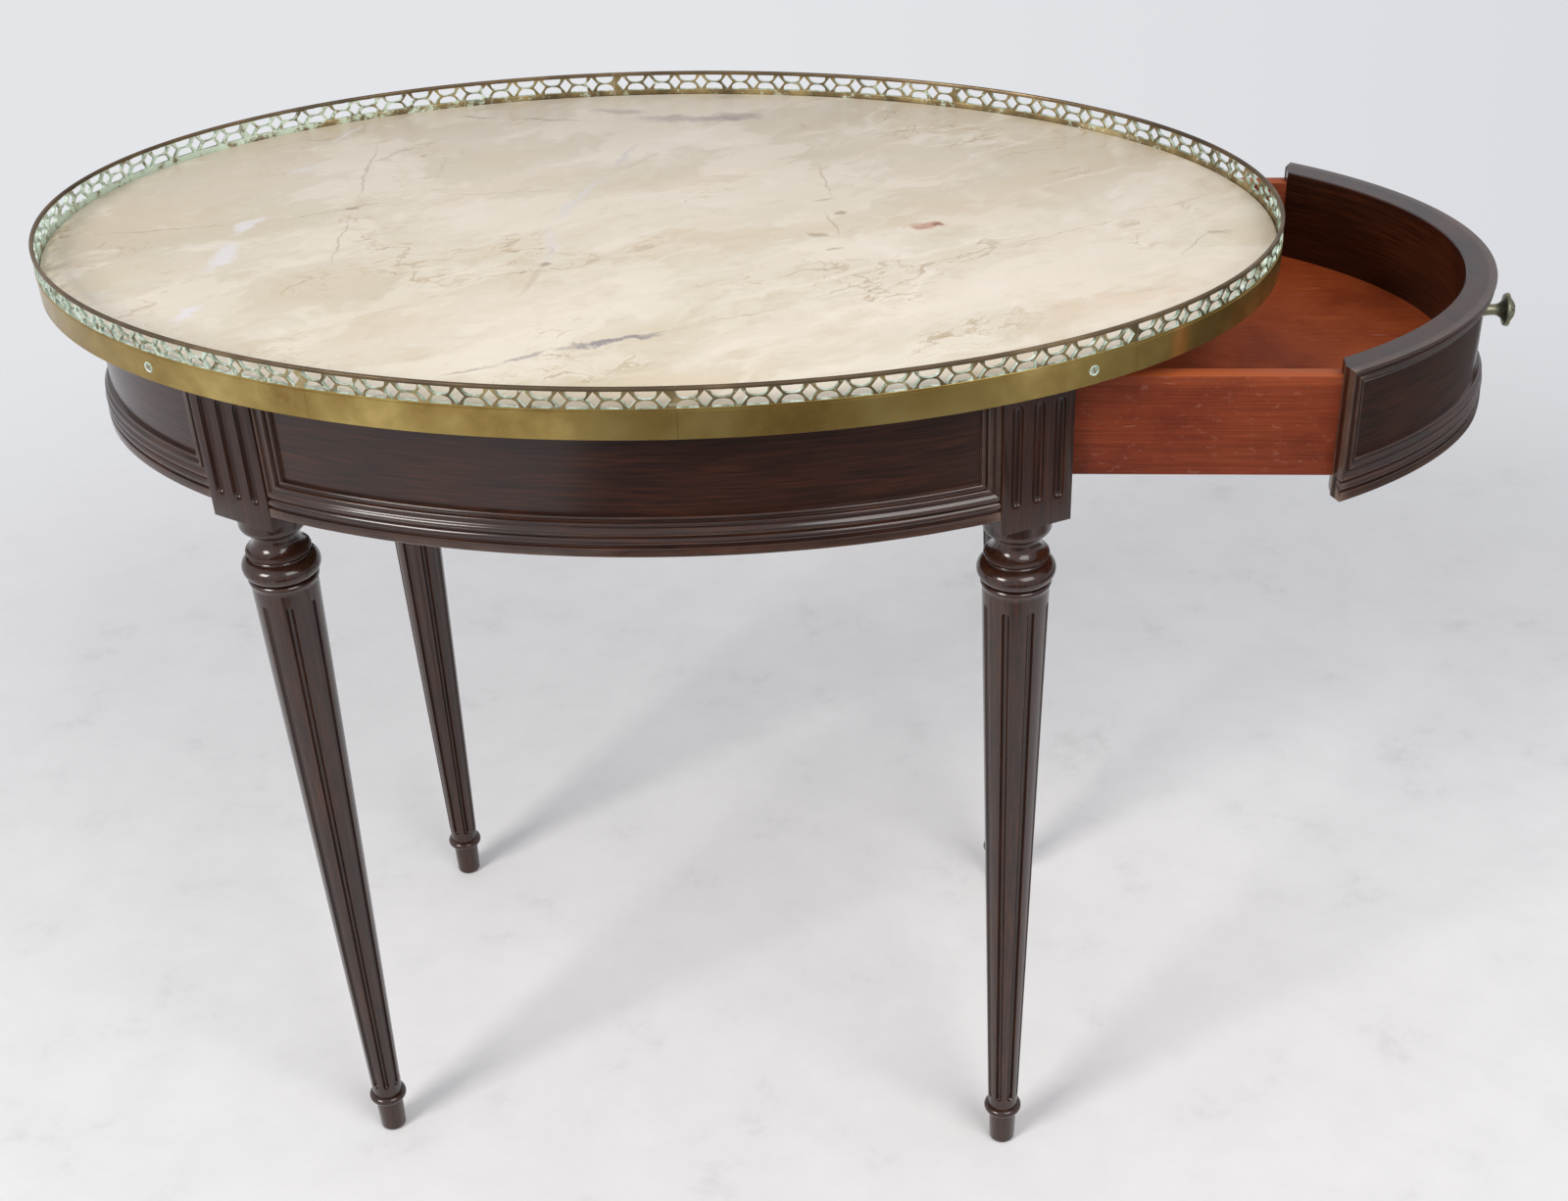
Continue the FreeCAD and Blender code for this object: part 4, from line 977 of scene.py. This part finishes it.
def marble_slab():
    """The oval slab, its upper edge eased."""
    shape = bmesh.new()
    bmesh.ops.create_circle(shape, cap_ends=True, radius=1, segments=256)
    size = (HALF_LENGTH - MARBLE_INSET, HALF_WIDTH - MARBLE_INSET, 1)
    bmesh.ops.scale(shape, verts=shape.verts, vec=size)
    bmesh.ops.translate(shape, verts=shape.verts, vec=(0, 0, MARBLE_BOTTOM))
    grown(shape, (0, 0, MARBLE_TOP - MARBLE_BOTTOM))
    near_top = MARBLE_TOP - 0.1
    rim = [edge for edge in shape.edges if all(corner.co.z > near_top for corner in edge.verts)]
    return eased(shape, rim, 1.2, 3)


finished("marble_top", marble_slab(), [MARBLE], "table", ["marble_top"])


# The pierced brass gallery


def distance_table(count=3600):
    """The distance round the top's edge, from the first seam, at evenly spaced bearings."""
    first = math.radians(FIRST_SEAM_BEARING)
    table = [(0, first)]
    for step in range(1, count + 1):
        bearing = first + math.tau * step / count
        gone, before = table[-1]
        table.append((gone + (oval_at(bearing, 0) - oval_at(before, 0)).length, bearing))
    return table


DISTANCES = distance_table()
ROUND = DISTANCES[-1][0]
PITCH = (ROUND - SEAM_PIER * len(STRIP_MOTIFS)) / sum(STRIP_MOTIFS)


def bearing_at(distance):
    """The bearing at a distance round the edge from the first seam."""
    low, high = 0, len(DISTANCES) - 1
    while high - low > 1:
        middle = (low + high) // 2
        low, high = (middle, high) if DISTANCES[middle][0] <= distance else (low, middle)
    (gone, before), (then, after) = DISTANCES[low], DISTANCES[high]
    return before + (after - before) * (distance - gone) / (then - gone)


PLATE_BOTTOM = BAND_TOP - 0.6
PLATE_TOP = RAIL_BOTTOM + 0.6
PLATE_MIDDLE = (BAND_TOP + RAIL_BOTTOM) / 2
PLATE_INSET = 0.35
PLATE_THICKNESS = GALLERY_THICKNESS - 0.6
# Where each of the gallery's finishes stands in its list of materials
BAND, WALLS, RAIL, PLATE = range(4)


def dee(middle, way):
    """A half-round piercing. Its flat side lies along the rail where way is 1, and along the band
    where it is -1."""
    flat = PLATE_MIDDLE + way * (RAIL_BOTTOM - PLATE_MIDDLE - 0.2)
    points = []
    for step in range(11):
        angle = math.pi * step / 10
        across = math.copysign(abs(math.cos(angle)) ** 0.85, math.cos(angle))
        swell = math.sin(angle) ** 0.8
        points.append((middle + DEE_WIDTH / 2 * across, 0, flat - way * DEE_HEIGHT * swell))
    return points


def plate_cell(shape, left, right, notched_left, notched_right, middle):
    """A cell of the pierced plate, drawn flat: two half rounds, and half a diamond at each side."""
    outline = []
    for across, way, notched in ((right, 1, notched_right), (left, -1, notched_left)):
        outline.append((across, 0, PLATE_BOTTOM if way > 0 else PLATE_TOP))
        if notched:
            for inward, up in ((0, -1), (1, 0), (0, 1)):
                corner = across - way * inward * DIAMOND_WIDTH / 2
                outline.append((corner, 0, PLATE_MIDDLE + way * up * DIAMOND_HEIGHT / 2))
        outline.append((across, 0, PLATE_TOP if way > 0 else PLATE_BOTTOM))
    edges = ring_of_edges(shape, outline)
    if middle is not None:
        for way in (-1, 1):
            edges += ring_of_edges(shape, dee(middle, way))
    bmesh.ops.triangle_fill(shape, edges=edges, use_beauty=True, normal=(0, -1, 0))


def pierced_plate(motifs, length):
    """The pierced part of one casting, drawn flat with the distance round the edge along X."""
    shape = bmesh.new()
    lead = SEAM_PIER / 2 + PITCH / 4
    diamonds = [lead + PITCH * (index + 0.5) for index in range(motifs)]
    lefts = [SEAM_GAP / 2] + diamonds
    rights = diamonds + [length - SEAM_GAP / 2]
    for index, (left, right) in enumerate(zip(lefts, rights)):
        middle = lead + PITCH * index if index < motifs else None
        plate_cell(shape, left, right, index > 0, index < motifs, middle)
    bmesh.ops.remove_doubles(shape, verts=shape.verts, dist=1e-3)
    bmesh.ops.recalc_face_normals(shape, faces=shape.faces)
    bmesh.ops.translate(shape, verts=shape.verts, vec=(0, PLATE_INSET, 0))
    grown(shape, (0, PLATE_THICKNESS, 0))
    bmesh.ops.recalc_face_normals(shape, faces=shape.faces)
    for face in shape.faces:
        face.material_index = WALLS if abs(face.normal.y) < 0.5 else PLATE
    return shape


def bent(shape, start):
    """Bends a flat plate round the oval: X is the distance round it, and Y the depth inwards."""
    for corner in shape.verts:
        corner.co.xy = oval_at(bearing_at(start + corner.co.x), corner.co.y)
    return shape


BAND_PROFILE = (
    [(0.5, FRAME_TOP), (0, FRAME_TOP + 0.5), (0, BAND_TOP - 1.9), (0.45, BAND_TOP - 1.6)]
    + [(0.45, BAND_TOP - 1.2), (0.05, BAND_TOP - 0.9), (0.05, BAND_TOP - 0.2), (0.25, BAND_TOP)]
    + [(2.8, BAND_TOP), (GALLERY_THICKNESS, BAND_TOP - 0.3), (GALLERY_THICKNESS, FRAME_TOP)]
)
RAIL_PROFILE = (
    [(0.3, RAIL_BOTTOM)]
    + [(0, RAIL_BOTTOM + 0.4), (0, TABLE_TOP - 0.9), (0.3, TABLE_TOP - 0.3), (0.9, TABLE_TOP)]
    + [(2.1, TABLE_TOP), (2.7, TABLE_TOP - 0.3), (3, TABLE_TOP - 0.9), (3, RAIL_BOTTOM + 0.4)]
    + [(2.7, RAIL_BOTTOM)]
)


def gallery():
    """The castings: each a pierced plate, a plain band below it and a rail above."""
    materials = [BAND_BRASS, VERDIGRIS, RAIL_BRASS, PLATE_BRASS]
    start = 0
    for number, motifs in enumerate(STRIP_MOTIFS, start=1):
        length = SEAM_PIER + PITCH * motifs
        plate = bent(pierced_plate(motifs, length), start)
        ends = bearing_at(start + SEAM_GAP / 2), bearing_at(start + length - SEAM_GAP / 2)
        band = oval_bar(BAND_PROFILE, *ends)
        # The band's inner face takes the darker plate brass: painted shade for the gallery's
        # inside, which lies in shadow
        for face in band.faces:
            middle = face.calc_center_median()
            reach = math.hypot(middle.x / HALF_LENGTH, middle.y / HALF_WIDTH)
            inner = (1 - reach) * middle.xy.length > GALLERY_THICKNESS - 0.6
            face.material_index = PLATE if inner else BAND
        rail = faced(oval_bar(RAIL_PROFILE, *ends), RAIL)
        name = f"gallery_strip_{number}"
        shape = joined(plate, band, rail)
        finished(name, shape, materials, "table", [name])
        start += length


gallery()


# Screws and the knob


BAND_SCREWS = ((-134.1, 0.5), (-46.7, 1.9), (46.7, 1.1), (134.1, 0.2))  # bearing, slot's turn
BAND_SCREW_HEIGHT = FRAME_TOP + 10.4
BAND_SCREW_INSET = 0.9
GLUE_BLOCKS = ("front_left", "front_right", "back_left", "back_right", "left")
DOWNWARD = Matrix.Rotation(math.pi, 4, "X")
KNOB_STEPS = 96
KNOB_PETALS = 12
PETALS_FROM, PETALS_TO = 2, 10  # radii between which the knob's dome is petalled
KNOB_BEADS = 36
BEAD_RADIUS = 0.95
BEAD_CIRCLE = 11.3
BEAD_HEIGHT = 21.2


def screw_head(radius, height, slot_turn):
    """A domed slotted head that stands on the plane z = 0."""
    profile = [(0, height)] + arc((0.3, height), (radius, height * 0.8), -0.08, 5)
    profile += [(radius, -1), (0, -1)]
    far, near = radius * 1.5, radius * 0.16
    slot = box((-far, -near, height * 0.3), (far, near, height * 3))
    laid(slot, Matrix.Rotation(slot_turn, 4, "Z"))
    return carved(turned(profile, 32), slot)


def band_screws():
    """The screws that hold the gallery to the board, through its plain band, each in a ring of
    verdigris."""
    materials = [SCREW_STEEL, VERDIGRIS]
    ring = [(2.5, 0.7), (2.7, 1.15), (3.2, 1.3), (3.7, 1.1), (3.9, 0.7), (2.5, 0.7)]
    for number, (bearing, slot_turn) in enumerate(BAND_SCREWS, start=1):
        angle = math.radians(bearing)
        place = (*oval_at(angle, BAND_SCREW_INSET), BAND_SCREW_HEIGHT)
        outward = Vector((math.cos(angle) / HALF_LENGTH, math.sin(angle) / HALF_WIDTH, 0))
        facing = outward.normalized().to_track_quat("Z", "Y").to_matrix().to_4x4()
        shape = joined(screw_head(2.6, 1.1, slot_turn), faced(turned(ring, 32), 1))
        laid(shape, Matrix.Translation(place) @ facing)
        finished(f"band_screw_{number}", shape, materials, "table")


def board_screws():
    """One screw up through each glue block into the board."""
    for number, corner in enumerate(GLUE_BLOCKS):
        low, high = edges_of(f"glue_block_{corner}")
        middle = (low + high) / 2
        head = screw_head(3.6, 0.9, 0.4 + number)
        laid(head, Matrix.Translation((middle.x - TABLE_X, middle.y, low.z)) @ DOWNWARD)
        finished(f"board_screw_{corner}", head, [SCREW_STEEL], "table")


def knob():
    """The turned knob: a flared foot, a stem and a disc with a beaded rim round a petalled dome."""
    profile = [(0, -11), (2, -11), (2, -0.5), (6.6, -0.5), (6.6, 0.2)]
    profile += arc((6.4, 0.8), (4.1, 8.5), -0.5, 8)
    profile += arc((4, 11.5), (10.6, 18.6), -1.8, 10)
    profile += arc((11.4, 18.8), (11.7, 21.4), 0.4, 5)
    profile += [(10.6, 21.7), (10.2, 21.5)]
    profile += arc((9.8, 21.8), (0.3, 26.9), 1.1, 14)
    profile += [(0, 26.9)]
    shape = turned(profile, KNOB_STEPS)
    for corner in shape.verts:
        radius = corner.co.xy.length
        if corner.co.z > 21.6 and PETALS_FROM < radius < PETALS_TO:
            angle = math.atan2(corner.co.y, corner.co.x)
            share = min(1, (radius - PETALS_FROM) / 2, (PETALS_TO - radius) / 1.5)
            groove = abs(math.sin(angle * KNOB_PETALS / 2)) ** 0.5
            corner.co.z -= 0.9 * share * groove - 0.3 * share
    beads = []
    for step in range(KNOB_BEADS):
        angle = math.tau * step / KNOB_BEADS
        bead = bmesh.new()
        bmesh.ops.create_uvsphere(bead, u_segments=8, v_segments=6, radius=BEAD_RADIUS)
        place = (math.cos(angle) * BEAD_CIRCLE, math.sin(angle) * BEAD_CIRCLE, BEAD_HEIGHT)
        beads.append(laid(bead, Matrix.Translation(place)))
    shape = joined(shape, *beads)
    place = Matrix.Translation((HALF_LENGTH - PANEL_INSET, 0, KNOB_HEIGHT))
    laid(shape, place @ Matrix.Rotation(math.pi / 2, 4, "Y"))
    finished("drawer_knob", shape, [KNOB_BRASS], "drawer", ["drawer_knob"], DRAWER_X)


band_screws()
board_screws()
knob()


# CAD nodes whose shape is right get their finish

BARE_PIECES = ("end_rail", "cross_rail", "drawer_runner", "drawer_guide", "drawer_kicker")
BARE_PIECES += ("glue_block", "top_board")
for name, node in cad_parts.items():
    # The drawer bottom takes the lighter copy of the stained beech, as painted light
    if name == "drawer_bottom":
        wood = PAINTED_LIGHT_BEECH
    elif name == "drawer_back":
        wood = STAINED_BEECH
    elif name.startswith(BARE_PIECES):
        wood = UNPOLISHED_BEECH
    else:
        continue
    node.data.materials.clear()
    node.data.materials.append(wood)


# The floor, the lights and the camera

FLOOR_REACH = 9
MELT_FROM, MELT_TO = 0.8, 1.9  # metres from the table over which the floor melts into the room
CARD_HEIGHT = 2 * MM


def sheet(name, material, low, high, height):
    """A flat sheet in metres."""
    corners = [(low[0], low[1]), (high[0], low[1]), (high[0], high[1]), (low[0], high[1])]
    mesh = bpy.data.meshes.new(name)
    mesh.from_pydata([(*corner, height) for corner in corners], [], [range(4)])
    mesh.materials.append(material)
    flat = placed(name, mesh)
    return flat


def stage_floor():
    """A seamless pale sheet on the floor, faintly scuffed. Far from the table it melts into the
    pale room."""
    material, tree, shader = finish("pale_floor_sheet", Roughness=0.85, Specular_IOR_Level=0.2)
    here = place_of(tree)
    scuffs = noise(tree, here, 9, 8, 0.7)
    tone = ramp(tree, scuffs, (0.28, "dededf"), (0.42, "ebebec"), (0.6, "efeff0"))
    give(tree, shader, Base_Color=tone)
    distance = add(tree, "ShaderNodeVectorMath", {0: here}, operation="LENGTH").outputs["Value"]
    links = {"Value": distance, "From Min": MELT_FROM, "From Max": MELT_TO}
    melt = add(tree, "ShaderNodeMapRange", links, interpolation_type="SMOOTHSTEP")
    room = add(tree, "ShaderNodeBsdfTransparent")
    links = {0: melt.outputs["Result"], 1: shader.outputs["BSDF"], 2: room.outputs["BSDF"]}
    mixed = add(tree, "ShaderNodeMixShader", links)
    tree.links.new(mixed.outputs["Shader"], tree.nodes["Material Output"].inputs["Surface"])
    sheet("floor", material, (-FLOOR_REACH, -FLOOR_REACH), (FLOOR_REACH, FLOOR_REACH), 0)


def reflection_only_card(name, dark, light, low, high):
    """A dark felt card on the floor, outside the picture, seen only in reflections: a painted dark
    reflection that keeps the polish deep and the brass olive."""
    material, tree, shader = finish(f"{name}_felt", Roughness=1, Specular_IOR_Level=0)
    felt = noise(tree, place_of(tree), 6, 3)
    give(tree, shader, Base_Color=ramp(tree, felt, (0.3, dark), (0.7, light)))
    card = sheet(name, material, low, high, CARD_HEIGHT)
    card.visible_camera = False
    card.visible_diffuse = False
    card.visible_transmission = False
    card.visible_shadow = False


def soft_light(name, toward, distance, size, power, tint):
    """A square soft box that looks at the middle of the table."""
    data = bpy.data.lights.new(name, "AREA")
    data.shape = "SQUARE"
    data.size = size
    data.energy = power
    data.color = colour(tint)[:3]
    lamp = placed(name, data)
    direction = Vector(toward).normalized()
    lamp.location = Vector((TABLE_X * MM, 0, 0.4)) + direction * distance
    lamp.rotation_mode = "QUATERNION"
    lamp.rotation_quaternion = direction.to_track_quat("Z", "Y")


def surroundings():
    """A pale room: white to the camera and in reflections, and a dimmer even light elsewhere. The
    backdrop is a shade darker to the right."""
    world = bpy.data.worlds.new("pale_room")
    bpy.context.scene.world = world
    world.use_nodes = True
    tree = world.node_tree
    tree.nodes.clear()
    path = add(tree, "ShaderNodeLightPath").outputs
    shown = combined(tree, path["Is Camera Ray"], path["Is Glossy Ray"], "MAXIMUM")
    shown = combined(tree, shown, path["Is Transmission Ray"], "MAXIMUM")
    toward = parts_of(tree, add(tree, "ShaderNodeTexCoord").outputs["Generated"])
    paper = ramp(tree, share_of(tree, toward["X"], -0.1, 0.45), (0, "e4e5e9"), (1, "d6d7dc"))
    links = {0: shown}
    for place, tint, strength in ((1, colour("f2f4fa"), 0.52), (2, paper, 1)):
        light = add(tree, "ShaderNodeBackground", {"Color": tint, "Strength": strength})
        links[place] = light.outputs["Background"]
    mixed = add(tree, "ShaderNodeMixShader", links)
    add(tree, "ShaderNodeOutputWorld", {"Surface": mixed.outputs["Shader"]})


# The camera as solved from the photo: where it stands, in metres, how it is turned, in degrees, and
# how far the picture's middle lies from its axis, in shares of the picture's width
CAMERA_PLACE = (0.22730629 + TABLE_X * MM, -1.49367034, 1.39208795)
CAMERA_YAW = 3.79188378
CAMERA_DOWN = 35.18396324
CAMERA_ROLL = -1.64374331
CAMERA_LENS = 50.332
CAMERA_SHIFT = (-62.208 / 1600, 97.275 / 1600)


def camera():
    data = bpy.data.cameras.new("camera")
    data.sensor_width = 36
    data.lens = CAMERA_LENS
    data.shift_x, data.shift_y = CAMERA_SHIFT
    data.dof.use_dof = False
    eye = placed("camera", data)
    place = Matrix.Translation(CAMERA_PLACE)
    yaw = Matrix.Rotation(math.radians(CAMERA_YAW), 4, "Z")
    pitch = Matrix.Rotation(math.radians(90 - CAMERA_DOWN), 4, "X")
    roll = Matrix.Rotation(math.radians(CAMERA_ROLL), 4, "Z")
    eye.matrix_world = place @ yaw @ pitch @ roll
    bpy.context.scene.camera = eye


stage_floor()
# Dark cards seen only in gloss: painted dark reflections
reflection_only_card("front_card", "504e4c", "5e5c5a", (-0.45, -4), (1.3, -0.95))
reflection_only_card("right_card", "6a6866", "787674", (1.15, -0.95), (3.2, 2.6))
surroundings()
soft_light("left_light", (-0.6, -0.66, 0.55), 6, 1.9, 215, "fffbf6")
soft_light("right_light", (0.62, -0.75, 0.85), 3.6, 1.8, 54, "fffdfa")
camera()
bpy.context.scene.view_settings.view_transform = "Standard"
